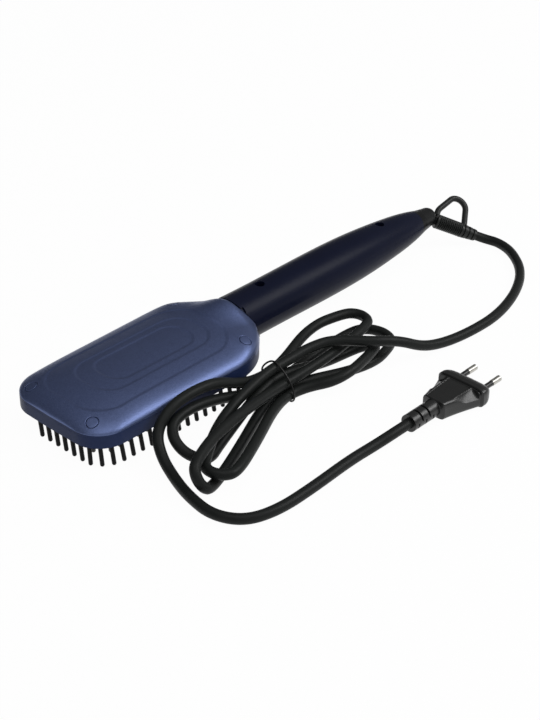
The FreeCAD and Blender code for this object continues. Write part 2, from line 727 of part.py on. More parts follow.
def temperature_cap(margin, z0, z1):
    """Long button's section, a bar with round ends, grown by a margin."""
    radius = TEMPERATURE_BUTTON_WIDTH / 2 + margin
    reach = (TEMPERATURE_BUTTON_LENGTH - TEMPERATURE_BUTTON_WIDTH) / 2
    left, right = TEMPERATURE_X - reach, TEMPERATURE_X + reach
    edges = [Part.LineSegment(V(left, -radius, z0), V(right, -radius, z0)).toShape(),
             Part.Arc(V(right, -radius, z0), V(right + radius, 0, z0), V(right, radius, z0)).toShape(),
             Part.LineSegment(V(right, radius, z0), V(left, radius, z0)).toShape(),
             Part.Arc(V(left, radius, z0), V(left - radius, 0, z0), V(left, -radius, z0)).toShape()]
    return Part.Face(Part.Wire(edges)).extrude(V(0, 0, z1 - z0))


def handle_front_shell():
    """Lower half, with screw bosses, board posts and the openings of the buttons and the lens."""
    shell = handle_half(False)
    for x in HANDLE_SCREWS:
        shell = shell.fuse(post(x, 0, 0, AXIS_Z, FRAME_BOSS_R).common(HANDLE_OUTSIDE))
        shell = shell.cut(post(x, 0, AXIS_Z - HANDLE_SCREW_DROP - FIT, FAR, SCREW_R + SCREW_FIT))
    for x in board_post_places():
        shell = shell.fuse(post(x, 0, 0, BOARD_Z, BOARD_POST_R).common(HANDLE_OUTSIDE))
        shell = shell.cut(post(x, 0, BOARD_TOP - BOARD_SCREW_LENGTH - FIT, FAR, BOARD_SCREW_R + PIN_FIT))
    openings = [power_cap(BUTTON_GAP, 0, BOARD_Z), temperature_cap(BUTTON_GAP, 0, BOARD_Z),
                post(LENS_X, 0, 0, BOARD_Z, LENS_R + FIT)]
    return shell.cut(openings).removeSplitter()


def handle_ring(inner, outer):
    """Tube about the handle's axis along the buttons."""
    start, end = BOARD_X, BOARD_X + BOARD_LENGTH
    return bar(start, end, outer).cut(bar(start - PAST, end + PAST, inner))


def button(cap, x):
    """Cap that follows the handle's round, with a retaining flange inside and a stem to the switch."""
    skin = GRIP_R + BUTTON_PROUD
    inner = min(NECK_R, GRIP_R) - HANDLE_WALL - BUTTON_GAP
    body = cap(0, 0, AXIS_Z - inner / 2).common(handle_ring(inner - BUTTON_FLANGE_THICK, skin))
    flange = cap(BUTTON_FLANGE, 0, AXIS_Z - inner / 2)
    flange = flange.common(handle_ring(inner - BUTTON_FLANGE_THICK, inner))
    stem = post(x, 0, AXIS_Z - inner, STEM_TOP, BUTTON_STEM_R)
    return body.fuse([flange, stem]).removeSplitter()


def tact_switch(x):
    """Small switch under the board, with a hole for its plunger."""
    half = SWITCH_SIDE / 2
    body = box(x - half, x + half, -half, half, SWITCH_Z, BOARD_Z)
    return body.cut(post(x, 0, SWITCH_Z - PAST, BOARD_Z - BUTTON_CLEAR, PLUNGER_R + PLUNGER_GAP))


def plunger(x):
    return post(x, 0, STEM_TOP, SWITCH_Z + PLUNGER_IN_SWITCH - BUTTON_CLEAR, PLUNGER_R)


def main_board():
    """Circuit board, its outline kept clear of the handle's wall."""
    board = box(BOARD_X, BOARD_X + BOARD_LENGTH, -BOARD_WIDTH / 2, BOARD_WIDTH / 2, BOARD_Z, BOARD_TOP)
    board = board.common(handle_round(HANDLE_WALL + FIT))
    return board.cut([post(x, 0, 0, FAR, BOARD_SCREW_R + PIN_FIT) for x in board_post_places()])


def board_screws():
    screws = []
    for x in board_post_places():
        head = post(x, 0, BOARD_TOP, BOARD_TOP + BOARD_SCREW_HEAD_HEIGHT, BOARD_SCREW_HEAD_R)
        screws.append(head.fuse(post(x, 0, BOARD_TOP - BOARD_SCREW_LENGTH, BOARD_TOP, BOARD_SCREW_R))
                      .removeSplitter())
    return screws


def board_parts():
    """Capacitor, switching device and driver on top of the board, indicator lamp under it."""
    parts = []
    for at, (length, width, height) in ((BOARD_LENGTH - CAPACITOR_BACK, CAPACITOR),
                                        (SWITCHING_DEVICE_AT, SWITCHING_DEVICE), (DRIVER_AT, DRIVER)):
        x = BOARD_X + at
        parts.append(box(x - length / 2, x + length / 2, -width / 2, width / 2,
                         BOARD_TOP, BOARD_TOP + height))
    half = LED_SIDE / 2
    parts.append(box(LENS_X - half, LENS_X + half, -half, half, BOARD_Z - LED_HEIGHT, BOARD_Z))
    return parts


def indicator_lens():
    """Clear light pipe from the lamp to the handle's skin, with a flange inside the wall."""
    top = BOARD_Z - LED_HEIGHT
    under_wall = HANDLE_WALL + FIT
    pipe = post(LENS_X, 0, 0, top, LENS_R).common(HANDLE_OUTSIDE)
    flange = post(LENS_X, 0, 0, top, LENS_FLANGE_R).common(handle_round(under_wall))
    return pipe.fuse(flange.cut(handle_round(under_wall + LENS_FLANGE_THICK))).removeSplitter()


def arced_path(points, shares):
    """Straight runs joined by tangent arcs; each arc takes its share of the shorter run beside its point."""
    edges = []
    radii = []
    here = points[0]
    for i in range(1, len(points) - 1):
        corner = points[i]
        back, ahead = points[i - 1] - corner, points[i + 1] - corner
        reach = shares[i] * min(back.Length, ahead.Length)
        u, w = back.normalize(), ahead.normalize()
        half_turn = (math.pi - u.getAngle(w)) / 2
        radius = reach / math.tan(half_turn)
        start, end = corner + u * reach, corner + w * reach
        middle = corner + (u + w).normalize() * (radius / math.cos(half_turn) - radius)
        if (start - here).Length > LEAST_RUN:
            edges.append(Part.LineSegment(here, start).toShape())
        edges.append(Part.Arc(start, middle, end).toShape())
        radii.append(radius)
        here = end
    edges.append(Part.LineSegment(here, points[-1]).toShape())
    return Part.Wire(edges), radii


def tube(points, radius, shares=None):
    """Round tube along such a path, as one pipe shell."""
    path, radii = arced_path(points, shares or [RUN_SHARE] * len(points))
    circle = Part.Wire(Part.makeCircle(radius, points[0], points[1] - points[0]))
    return path.makePipeShell([circle], True, False), path, radii


def heater_leads():
    """Two wires from the heating elements through the neck to the board's end."""
    z = HEATER_TOP + ELEMENT_THICK / 2
    high = LEDGE_TOP + WIRE_R + FIT
    wires = []
    for side in (-1, 1):
        points = [V(ELEMENT_X[1] + FIT, side * (ELEMENT_SPACING - ELEMENT_WIDTH / 2) / 2, z),
                  V(FIELD_END - LEAD_BEND_BACK, side * WIRE_SPREAD, high + FIT),
                  V(SEAM_X, side * WIRE_SPREAD, high),
                  V(BOARD_X - BOARD_POST_INSET, side * WIRE_SPREAD, BOARD_TOP + WIRE_R + FIT),
                  V(BOARD_X + LEAD_LAP, side * WIRE_SPREAD, BOARD_TOP + WIRE_R)]
        wires.append(tube(points, WIRE_R)[0])
    return wires


def mains_leads():
    """Two wires from the cord's inlet to the board's other end."""
    board_end = BOARD_X + BOARD_LENGTH
    screw_x = HANDLE_SCREWS[1]
    beside = HANDLE_WELL_R + BOSS_WALL + WIRE_R + FIT
    wires = []
    for side in (-1, 1):
        points = [V(BALL.x - BALL_R - LEAD_END_GAP, side * RETAINER_BORE_R / 2, AXIS_Z),
                  V(CAP_X - SPIGOT_LENGTH, side * RETAINER_BORE_R / 2, AXIS_Z + FIT),
                  V(screw_x + beside, side * beside, AXIS_Z - WIRE_SPREAD / 2),
                  V(board_end + WIRE_R, side * beside, BOARD_TOP + WIRE_R + FIT),
                  V(board_end - LEAD_LAP, side * beside, BOARD_TOP + WIRE_R)]
        wires.append(tube(points, WIRE_R)[0])
    return wires


EXIT = V(math.cos(math.radians(EXIT_DIP)) * math.cos(math.radians(EXIT_YAW)),
         math.cos(math.radians(EXIT_DIP)) * math.sin(math.radians(EXIT_YAW)),
         -math.sin(math.radians(EXIT_DIP)))
EXIT_UP = (Z_AXIS - EXIT * Z_AXIS.dot(EXIT)).normalize()
SOCKET_R = BALL_R + BALL_GAP
SPIGOT_R = HANDLE_END_R - HANDLE_WALL - SPIGOT_FIT
RELIEF_END = RELIEF_START + RELIEF_LENGTH


def end_cap():
    """Domed cap on the handle's end, with a spigot into the handle and a socket for the ball."""
    taper = Part.makeCone(HANDLE_END_R, DOME_R, BALL_OFFSET, V(CAP_X, 0, AXIS_Z), X_AXIS)
    cap = taper.fuse([Part.makeSphere(DOME_R, BALL), bar(CAP_X - SPIGOT_LENGTH, CAP_X, SPIGOT_R)])
    bore = bar(CAP_X - SPIGOT_LENGTH - PAST, BALL.x, SOCKET_R)
    stem_hole = Part.makeCylinder(NECK_STEM_R + STEM_GAP, FAR, BALL, EXIT)
    return cap.cut([Part.makeSphere(SOCKET_R, BALL), bore, stem_hole]).removeSplitter()


def ball_retainer():
    """Ring pressed in behind the ball."""
    back, front = BALL.x - RETAINER_BACK, BALL.x - RETAINER_FRONT
    return bar(back, front, SOCKET_R - PIN_FIT).cut(bar(back - PAST, front + PAST, RETAINER_BORE_R))


def swivel_ball():
    """Ball in the cap's socket with the stem that the strain relief is moulded on."""
    stem = Part.makeCylinder(NECK_STEM_R, RELIEF_START, BALL, EXIT)
    return Part.makeSphere(BALL_R, BALL).fuse(stem).removeSplitter()


def relief_radius(along):
    """Outer radius of the strain relief: a slight taper, then a stronger one over the coarse ribs."""
    if along < COARSE_START:
        return RELIEF_BASE_R + (RELIEF_MID_R - RELIEF_BASE_R) * along / COARSE_START
    share = (along - COARSE_START) / (RELIEF_LENGTH - COARSE_START)
    return RELIEF_MID_R + (RELIEF_END_R - RELIEF_MID_R) * share


def turned_on_exit(profile):
    """Turn (along, radius) points about the exit's axis, the along measured from the relief's start."""
    foot = BALL + EXIT * RELIEF_START
    points = [foot + EXIT * profile[0][0]]
    points += [foot + EXIT * along + EXIT_UP * radius for along, radius in profile]
    points.append(foot + EXIT * profile[-1][0])
    return Part.Face(Part.makePolygon(points + points[:1])).revolve(foot, EXIT, 360)


def strain_relief():
    """Flexible sleeve with fine ribs near the cap and coarse ones near the cord."""
    profile = [(0, relief_radius(0))]
    for rib in range(FINE_RIBS):
        start = FINE_START + rib * FINE_PITCH
        for share, cut in FINE_SHAPE:
            along = start + share * FINE_PITCH
            profile.append((along, relief_radius(along) - cut * FINE_GROOVE))
    for rib in range(COARSE_RIBS):
        start = COARSE_START + rib * COARSE_PITCH
        end = start + COARSE_GROOVE_WIDTH
        profile += [(start, relief_radius(start)), (start, relief_radius(start) - COARSE_GROOVE),
                    (end, relief_radius(end) - COARSE_GROOVE), (end, relief_radius(end))]
    profile.append((RELIEF_LENGTH, relief_radius(RELIEF_LENGTH)))
    return turned_on_exit(profile)


def hanging_loop():
    """Loop moulded on the strain relief, leaning to the far side, with a long slanted leg by the cap."""
    lean = math.radians(LOOP_LEAN)
    out = EXIT_UP * math.cos(lean) + EXIT_UP.cross(EXIT) * math.sin(lean)
    route = [(LOOP_BASE, 0, 0), LOOP_BEND, LOOP_PEAK, (LOOP_END, 0, 0)]
    points = [BALL + EXIT * (RELIEF_START + along) + out * height for along, height, radius in route]
    shares = [0]
    for i in (1, 2):
        back, ahead = points[i - 1] - points[i], points[i + 1] - points[i]
        half_turn = (math.pi - back.getAngle(ahead)) / 2
        shares.append(route[i][2] * math.tan(half_turn) / min(back.Length, ahead.Length))
    loop = tube(points, LOOP_R, shares + [0])[0]
    core = turned_on_exit([(-LOOP_SEAT_BACK, relief_radius(0) + LOOP_SEAT), (0, relief_radius(0) + LOOP_SEAT),
                           (COARSE_START, RELIEF_MID_R + LOOP_SEAT),
                           (RELIEF_LENGTH, RELIEF_END_R + LOOP_SEAT)])
    return loop.cut(core)


# Passes of the cord through the hank's waist: place across and level
PASS_MID = PASS_LOW + LAYER_RISE
PASS_TOP = PASS_MID + LAYER_RISE
PASSES = {"top": (3.5, PASS_TOP),
          "mid_near": (-5.6, PASS_MID), "mid": (2.4, PASS_MID), "mid_far": (10.1, PASS_MID),
          "low_near": (-8.9, PASS_LOW), "low": (-1.3, PASS_LOW), "low_far": (6.3, PASS_LOW)}

# Folds of the hank: side, pass out and pass back, then the half turn's reach, swing, height, radius,
# heading and tilt, and for each leg the share of its length and the bow of its middle point
FOLDS = [(-1, "top", "low_near", 86, -36.5, 11.5, 10.5, 24, 2, 0.50, 0.34, 7, 0),
         (1, "low_near", "mid", 63, -11.5, 7.75, 10.5, -10, 156, 0.70, 0.35, -0.8, 6.8),
         (-1, "mid", "low_far", 75, -6.5, 11.6, 16.6, 0, 208, 0.12, 0.30, 7, 0),
         (1, "low_far", "low", 82, -2, 3.6, 15.6, -12.5, 0, 0.60, 0.34, 7.5, 0),
         (-1, "low", "mid_near", 99, -35.5, 11.5, 9.4, 22, 238, 0.34, 0.34, 0, 0),
         (1, "mid_near", "mid_far", 82, 11.9, 13.1, 10.5, 0, 180, 0.50, 0.34, -6.4, 5)]

# Free stretches of the cord, point by point: from the strain relief to the hank, and from it to the plug
LEAD = [V(207, -40, 3.6), V(201.5, -56, 3.6), V(183.5, -77, 3.6), V(155.5, -92, 3.6), V(123.5, -100.5, 3.6),
        V(95.5, -100.5, 3.6), V(72.5, -97, 3.6), V(52.5, -93.5, 7.5), V(35.5, -87, 17), V(17.5, -78, 20.6),
        V(2.5, -60.5, 21.2), V(-14, -55.3, 20.6)]
TAIL = [V(-71.5, -48.8, 17.8), V(-89.5, -48, 27), V(-109.5, -47.8, 29.5), V(-127.5, -47.8, 27),
        V(-141.5, -50.3, 17.7), V(-147.5, -61, 8.5), V(-152.5, -77, 3.6), V(-158.5, -95, 3.6),
        V(-161.5, -116, 3.6), V(-152.5, -133, 3.6), V(-132.5, -139.5, 3.6), V(-104.5, -139.5, 3.6),
        V(-69.5, -137.5, 3.6), V(-47.5, -138.6, 3.9)]
EXIT_RUN = 8.0
PLUG_RUN = 13.0
TURN_ANGLES = (22.5, 67.5, 112.5, 157.5)


def waist_pass(side, name):
    across, level = PASSES[name]
    return WAIST + V(side * WAIST_RUN, across, level)


def fold(side, out_pass, back_pass, reach, swing, height, radius, heading, tilt,
         out_share, back_share, out_bow, back_bow):
    """One fold: a leg out of the waist, a half turn on four points round a circle, and a leg back in."""
    h, t = math.radians(heading), math.radians(tilt)
    ahead = V(side * math.cos(h), -math.sin(h), 0)
    across = V(side * math.sin(h), math.cos(h), 0)
    out_side = across * math.cos(t) + Z_AXIS * math.sin(t)
    centre = WAIST + V(side * reach, swing, height)
    corner_radius = radius / math.cos(math.radians(TURN_ANGLES[0]))
    turn = [centre + ahead * (corner_radius * math.sin(math.radians(a)))
            + out_side * (corner_radius * math.cos(math.radians(a))) for a in TURN_ANGLES]
    out, back = centre + out_side * radius, centre - out_side * radius
    start, end = waist_pass(side, out_pass), waist_pass(side, back_pass)
    out_middle = out - ahead * ((out - start).Length * out_share) + across * out_bow
    back_middle = back - ahead * ((back - end).Length * back_share) + across * back_bow
    return [start, out_middle] + turn + [back_middle, end]


def cord_points():
    """Whole route of the cord from the strain relief to the plug."""
    exit_point = BALL + EXIT * RELIEF_END
    plug_end = PLUG_FACE - X_AXIS * (PLUG_BAND + PLUG_BODY_LENGTH + PLUG_RELIEF_LENGTH)
    lead = [exit_point, exit_point + EXIT * EXIT_RUN] + LEAD
    hank = [waist_pass(1, "top")]
    for settings in FOLDS:
        hank += fold(*settings)
    hank.append(waist_pass(-1, "mid_far"))
    tail = TAIL + [plug_end - X_AXIS * PLUG_RUN, plug_end]
    return lead, hank, tail


def least_gap(path):
    """Least gap between stretches of the cord that aren't neighbours, measured on points along it."""
    points = path.discretize(Distance=CORD_POINTS_STEP)
    apart = int(CORD_NEIGHBOUR / CORD_POINTS_STEP)
    least = min((p - q).Length for i, p in enumerate(points) for q in points[i + apart:])
    return least - 2 * CORD_R


def cord():
    """Lead, hank and tail: tubes that meet face to face in the middle of a straight run."""
    lead, hank, tail = cord_points()
    lead_shares = [RUN_SHARE] * (len(lead) - 1) + [JOIN_SHARE]
    hank_shares = [JOIN_SHARE] + [HANK_SHARE] * (len(hank) - 2) + [JOIN_SHARE]
    tail_shares = [JOIN_SHARE] + [RUN_SHARE] * (len(tail) - 1)
    first_join = (lead[-1] + hank[0]) / 2
    last_join = (hank[-1] + tail[0]) / 2
    stretches = [(lead + [first_join], lead_shares + [0]),
                 ([first_join] + hank + [last_join], [0] + hank_shares + [0]),
                 ([last_join] + tail, [0] + tail_shares)]
    tubes = []
    total = 0
    for points, shares in stretches:
        solid, path, radii = tube(points, CORD_R, shares)
        share = solid.Volume / (math.pi * CORD_R ** 2 * path.Length)
        total += path.Length
        tubes.append(solid)
        print("cord radii", [round(r) for r in radii], "volume over section times length", round(share, 4))
    whole = arced_path(lead + hank + tail, lead_shares + hank_shares + tail_shares)[0]
    print("cord length", round(total), "least gap to itself", round(least_gap(whole), 2))
    return tubes


def cord_tie():
    """Thin wire tie drawn round the seven passes of the hank's waist."""
    order = ("low_near", "low_far", "mid_far", "top", "mid_near")
    corners = [WAIST + V(0, *PASSES[name]) for name in order]
    wire = Part.makePolygon(corners + corners[:1]).makeOffset2D(CORD_R + TIE_GAP + TIE_R)
    edge = wire.Edges[0]
    start = edge.valueAt(edge.FirstParameter)
    circle = Part.Wire(Part.makeCircle(TIE_R, start, edge.tangentAt(edge.FirstParameter)))
    return wire.makePipeShell([circle], True, False)


def plug_section(x, width, height):
    """Rounded rectangle across the plug."""
    radius = min(PLUG_EDGE_R, height / 3)
    half_width, half_height = width / 2, height / 2
    corners = [(half_width, half_height, radius), (-half_width, half_height, radius),
               (-half_width, -half_height, radius), (half_width, -half_height, radius)]
    wire = rounded_wire(corners, 0)
    wire.rotate(V(0, 0, 0), V(1, 1, 1), 120)
    wire.translate(V(x, PLUG_FACE.y, PLUG_FACE.z))
    return wire


def pin_places():
    return [PLUG_FACE.y + side * PIN_SPACING / 2 for side in (-1, 1)]


def plug_body():
    """Moulded flat plug: front band, tapering grip and ringed strain relief in one piece."""
    face_x = PLUG_FACE.x
    band_x = face_x - PLUG_BAND
    neck_x = band_x - PLUG_BODY_LENGTH
    relief_x = neck_x - PLUG_RELIEF_LENGTH
    band = Part.makeLoft([plug_section(band_x, PLUG_WIDTH, PLUG_HEIGHT),
                          plug_section(face_x, PLUG_WIDTH, PLUG_HEIGHT)], True, True)
    grip_height = PLUG_HEIGHT - PLUG_STEP
    grip = Part.makeLoft([plug_section(neck_x, PLUG_NECK_WIDTH, PLUG_NECK_HEIGHT),
                          plug_section(neck_x + PLUG_BODY_LENGTH * PLUG_WAIST_SHARE,
                                       PLUG_WAIST_WIDTH, grip_height),
                          plug_section(neck_x + PLUG_BODY_LENGTH * PLUG_FLARE_SHARE,
                                       PLUG_WIDTH - 2 * PLUG_FLARE_INSET, grip_height),
                          plug_section(band_x, PLUG_WIDTH - 2 * PLUG_STEP, grip_height)], True, True)
    sleeve = bar(relief_x, neck_x, PLUG_RELIEF_R, PLUG_FACE.y, PLUG_FACE.z)
    pitch = PLUG_RELIEF_LENGTH / PLUG_RINGS
    grooves = []
    for ring in range(1, PLUG_RINGS + 1):
        x = relief_x + ring * pitch - PLUG_RING_GAP
        slot = bar(x, x + PLUG_RING_GAP, PLUG_RELIEF_R + PAST, PLUG_FACE.y, PLUG_FACE.z)
        grooves.append(slot.cut(bar(x - PAST, x + 2 * PLUG_RING_GAP, PLUG_RELIEF_R - PLUG_RING_GROOVE,
                                    PLUG_FACE.y, PLUG_FACE.z)))
    body = band.fuse([grip, sleeve.cut(grooves)])
    holes = [bar(face_x - PIN_DEPTH, face_x + PAST, SLEEVE_R + PIN_FIT, y, PLUG_FACE.z) for y in pin_places()]
    return body.cut(holes).removeSplitter()


def plug_pin(y):
    """Pin with a thin core under the sleeve and a full-size, round-nosed contact end."""
    start, step, end = PLUG_FACE.x - PIN_DEPTH, PLUG_FACE.x + SLEEVE_LENGTH, PLUG_FACE.x + PIN_LENGTH
    core = bar(start, step, PIN_CORE_R, y, PLUG_FACE.z)
    contact = bar(step, end - PIN_NOSE, PIN_R, y, PLUG_FACE.z)
    nose = Part.makeCone(PIN_R, PIN_R - PIN_NOSE, PIN_NOSE, V(end - PIN_NOSE, y, PLUG_FACE.z), X_AXIS)
    return core.fuse([contact, nose]).removeSplitter()


def pin_sleeve(y):
    start, end = PLUG_FACE.x - PIN_DEPTH, PLUG_FACE.x + SLEEVE_LENGTH
    core = bar(start - PAST, end + PAST, PIN_CORE_R + PIN_FIT, y, PLUG_FACE.z)
    return bar(start, end, SLEEVE_R, y, PLUG_FACE.z).cut(core)


os.makedirs("parts", exist_ok=True)
cover, cover_outer = head_back_cover()
save("head_back_cover", cover)
save("cover_screw_plugs", *cover_plugs(cover_outer))
save("head_screws", *cover_screws())
save("head_frame", head_frame())
save("bristle_plate", bristle_plate())
save("outer_bristles", *[guard_bristle(*root) for root in guard_roots()])
save("heater_plate", heater_plate())
save("heated_teeth", *[heated_tooth(x, y) for x, y in tooth_places()])
save("tooth_tips", *[tooth_tip(x, y) for x, y in tooth_places()])
save("ptc_heater", *strip(ELEMENT_LENGTH, ELEMENT_WIDTH, HEATER_TOP, ELEMENT_TOP))
save("heater_insulation", *strip(ELEMENT_LENGTH + 2 * FILM_MARGIN, ELEMENT_WIDTH, ELEMENT_TOP, FILM_TOP))
save("heater_clamp", *heater_clamps())
save("clamp_screws", *clamp_screws())
save("ntc_sensor", bar(FIELD_MIDDLE - SENSOR_SPACING, FIELD_MIDDLE - SENSOR_SPACING + SENSOR_LENGTH, SENSOR_R,
                       0, HEATER_TOP + SENSOR_R))
save("thermal_fuse", bar(FIELD_MIDDLE, FIELD_MIDDLE + FUSE_LENGTH, FUSE_R, 0, HEATER_TOP + FUSE_R))
save("heat_shield", box(*[FIELD_MIDDLE + end * (ELEMENT_LENGTH / 2 + CLAMP_OVERHANG) for end in (-1, 1)],
                        -SHIELD_WIDTH / 2, SHIELD_WIDTH / 2, SHIELD_Z, SHIELD_Z + SHIELD_THICK))
save("heater_leads", *heater_leads())
save("handle_rear_shell", handle_rear_shell())
save("handle_front_shell", handle_front_shell())
save("handle_screws", *[post(x, 0, HANDLE_SEAT_Z, HANDLE_SEAT_Z + SCREW_HEAD_HEIGHT, SCREW_HEAD_R)
                        .fuse(post(x, 0, AXIS_Z - HANDLE_SCREW_DROP, HANDLE_SEAT_Z, SCREW_R)).removeSplitter()
                        for x in HANDLE_SCREWS])
save("main_board", main_board())
save("board_screws", *board_screws())
save("board_parts", *board_parts())
save("tact_switches", tact_switch(POWER_X), tact_switch(TEMPERATURE_X))
save("power_button", button(power_cap, POWER_X))
save("power_plunger", plunger(POWER_X))
save("temperature_button", button(temperature_cap, TEMPERATURE_X))
save("temperature_plunger", plunger(TEMPERATURE_X))
save("indicator_lens", indicator_lens())
save("mains_leads", *mains_leads())
save("end_cap", end_cap())
save("ball_retainer", ball_retainer())
save("swivel_ball", swivel_ball())
save("strain_relief", strain_relief())
save("hanging_loop", hanging_loop())
cord_lead, cord_hank, cord_tail = cord()
save("cord_lead", cord_lead)
save("cord_hank", cord_hank)
save("cord_tail", cord_tail)
save("cord_tie", cord_tie())
save("plug_body", plug_body())
save("plug_pins", *[plug_pin(y) for y in pin_places()])
save("plug_pin_sleeves", *[pin_sleeve(y) for y in pin_places()])
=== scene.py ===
"""Electric hair straightening brush lying on its bristles, with its cord in a tied hank.

Metres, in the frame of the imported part: X from the head to the handle's end, Y across, Z up.
"""
import math

import bmesh
import bpy
import numpy as np
from mathutils import Matrix


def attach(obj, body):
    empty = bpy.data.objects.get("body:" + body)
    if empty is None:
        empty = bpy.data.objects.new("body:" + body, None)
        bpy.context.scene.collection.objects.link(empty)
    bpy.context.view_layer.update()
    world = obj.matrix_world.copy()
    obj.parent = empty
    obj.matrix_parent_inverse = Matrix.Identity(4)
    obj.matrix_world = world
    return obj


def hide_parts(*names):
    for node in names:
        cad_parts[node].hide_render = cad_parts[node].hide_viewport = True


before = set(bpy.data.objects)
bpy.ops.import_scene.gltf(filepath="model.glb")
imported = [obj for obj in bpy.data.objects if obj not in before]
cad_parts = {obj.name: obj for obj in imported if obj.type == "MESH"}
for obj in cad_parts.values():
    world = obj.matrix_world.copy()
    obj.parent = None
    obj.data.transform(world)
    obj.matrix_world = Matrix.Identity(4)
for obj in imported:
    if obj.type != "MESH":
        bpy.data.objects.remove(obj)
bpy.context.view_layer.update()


# Heated field. An aluminium plate with a tan ceramic coat carries rows of tapered teeth, each with a
# black cool tip pressed on. Two flat elements under a spring clamp heat the plate from behind.
class Value:
    """One output of a node in a finish. Arithmetic on it adds Math nodes to that finish."""

    def __init__(self, finish, socket):
        self.finish = finish
        self.socket = socket

    def math(self, operation, first, second):
        return self.finish.node("ShaderNodeMath", {"operation": operation}, {0: first, 1: second})

    def __add__(self, other):
        return self.math("ADD", self, other)

    def __radd__(self, other):
        return self.math("ADD", other, self)

    def __sub__(self, other):
        return self.math("SUBTRACT", self, other)

    def __rsub__(self, other):
        return self.math("SUBTRACT", other, self)

    def __mul__(self, other):
        return self.math("MULTIPLY", self, other)

    def __rmul__(self, other):
        return self.math("MULTIPLY", other, self)


class Finish:
    """The nodes of a material, or of the sky: one shader with fixed sockets, and one method for every
    other node."""

    def __init__(self, owner, sockets, shader="Principled BSDF"):
        self.owner = owner
        owner.use_nodes = True
        self.tree = owner.node_tree
        self.shader = self.tree.nodes[shader]
        self.feed(self.shader, sockets)

    def feed(self, node, sockets):
        for name, value in sockets.items():
            if isinstance(value, Value):
                self.tree.links.new(value.socket, node.inputs[name])
            else:
                node.inputs[name].default_value = value

    def node(self, kind, settings, sockets, output=0):
        made = self.tree.nodes.new(kind)
        for name, value in settings.items():
            setattr(made, name, value)
        self.feed(made, sockets)
        return Value(self, made.outputs[output])

    def noise(self, scale, detail=2.0):
        """Cloudy noise from 0 to 1 over the piece, with features of about one over the scale."""
        place = self.node("ShaderNodeTexCoord", {}, {}, "Object")
        sockets = {"Vector": place, "Scale": scale, "Detail": detail}
        return self.node("ShaderNodeTexNoise", {}, sockets, "Fac")

    def tint(self, share, low, high):
        """Colour that goes from low to high as the share goes from 0 to 1."""
        sockets = {0: share, 6: (*low, 1), 7: (*high, 1)}
        return self.node("ShaderNodeMix", {"data_type": "RGBA"}, sockets, 2)

    def raise_grain(self, height, depth, strength=1.0):
        """Bump of that depth in metres."""
        sockets = {"Strength": strength, "Distance": depth, "Height": height}
        self.feed(self.shader, {"Normal": self.node("ShaderNodeBump", {}, sockets, "Normal")})

    def on(self, *nodes):
        """Put this finish on CAD nodes, or on new pieces given as objects."""
        for node in nodes:
            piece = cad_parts[node] if isinstance(node, str) else node
            piece.data.materials.clear()
            piece.data.materials.append(self.owner)


def mottled(name, low, high, roughness, spread, scale, grain, depth, **fixed):
    """Finish whose colour drifts between two tones and whose gloss drifts by a spread, with a fine grain.
    Other sockets are given by name, with underscores for spaces."""
    sockets = {key.replace("_", " "): value for key, value in fixed.items()}
    finish = Finish(bpy.data.materials.new(name), sockets)
    drift = finish.noise(scale)
    finish.feed(finish.shader, {"Base Color": finish.tint(drift, low, high),
                                "Roughness": roughness + (drift - 0.5) * spread})
    finish.raise_grain(finish.noise(grain, 3.0), depth)
    return finish


ceramic_coat = mottled("ceramic_coat", (0.30, 0.22, 0.155), (0.44, 0.34, 0.25), 0.38, 0.2, 160, 2600,
                       2e-5, Metallic=0.35)
ceramic_coat.on("heater_plate", "heated_teeth")
cool_tip = mottled("cool_tip", (0.009, 0.009, 0.010), (0.016, 0.016, 0.017), 0.42, 0.2, 300, 4000, 1e-5)
cool_tip.on("tooth_tips")
bare_aluminium = mottled("bare_aluminium", (0.62, 0.62, 0.63), (0.76, 0.76, 0.77), 0.35, 0.2, 120, 3000,
                         1e-5, Metallic=1.0)
bare_aluminium.on("ptc_heater")
amber_film = mottled("amber_film", (0.45, 0.20, 0.03), (0.58, 0.30, 0.06), 0.25, 0.1, 90, 1500, 1e-5)
amber_film.on("heater_insulation")
spring_steel = mottled("spring_steel", (0.48, 0.48, 0.49), (0.60, 0.60, 0.61), 0.32, 0.2, 200, 3500,
                       1e-5, Metallic=1.0)
spring_steel.on("heater_clamp", "clamp_screws", "thermal_fuse", "head_screws", "handle_screws",
                "board_screws")
sensor_glass = mottled("sensor_glass", (0.42, 0.20, 0.06), (0.55, 0.30, 0.10), 0.12, 0.1, 300, 3000,
                       1e-5)
sensor_glass.on("ntc_sensor")
mica_sheet = mottled("mica_sheet", (0.46, 0.41, 0.33), (0.62, 0.56, 0.46), 0.55, 0.2, 60, 1800, 3e-5)
mica_sheet.on("heat_shield")


# Bristle carrier. A black moulded frame round the heated plate holds one row of round-ended nylon guard
# bristles along its edge, which keep the hot teeth off the scalp.
guard_nylon = mottled("guard_nylon", (0.0035, 0.0035, 0.0040), (0.0065, 0.0065, 0.0070), 0.40, 0.15,
                      250, 3500, 1e-5, Specular_IOR_Level=0.10)
guard_nylon.on("outer_bristles", "bristle_plate")


# Head frame. The dark navy rim that the carrier snaps into; it also forms the lower half of the neck.
# Moulded ABS with a satin skin.
navy_rim = mottled("navy_rim", (0.0120, 0.0215, 0.0680), (0.0165, 0.0285, 0.0830), 0.40, 0.08, 30, 2800,
                   6e-6, Specular_IOR_Level=0.12)
navy_rim.on("head_frame")


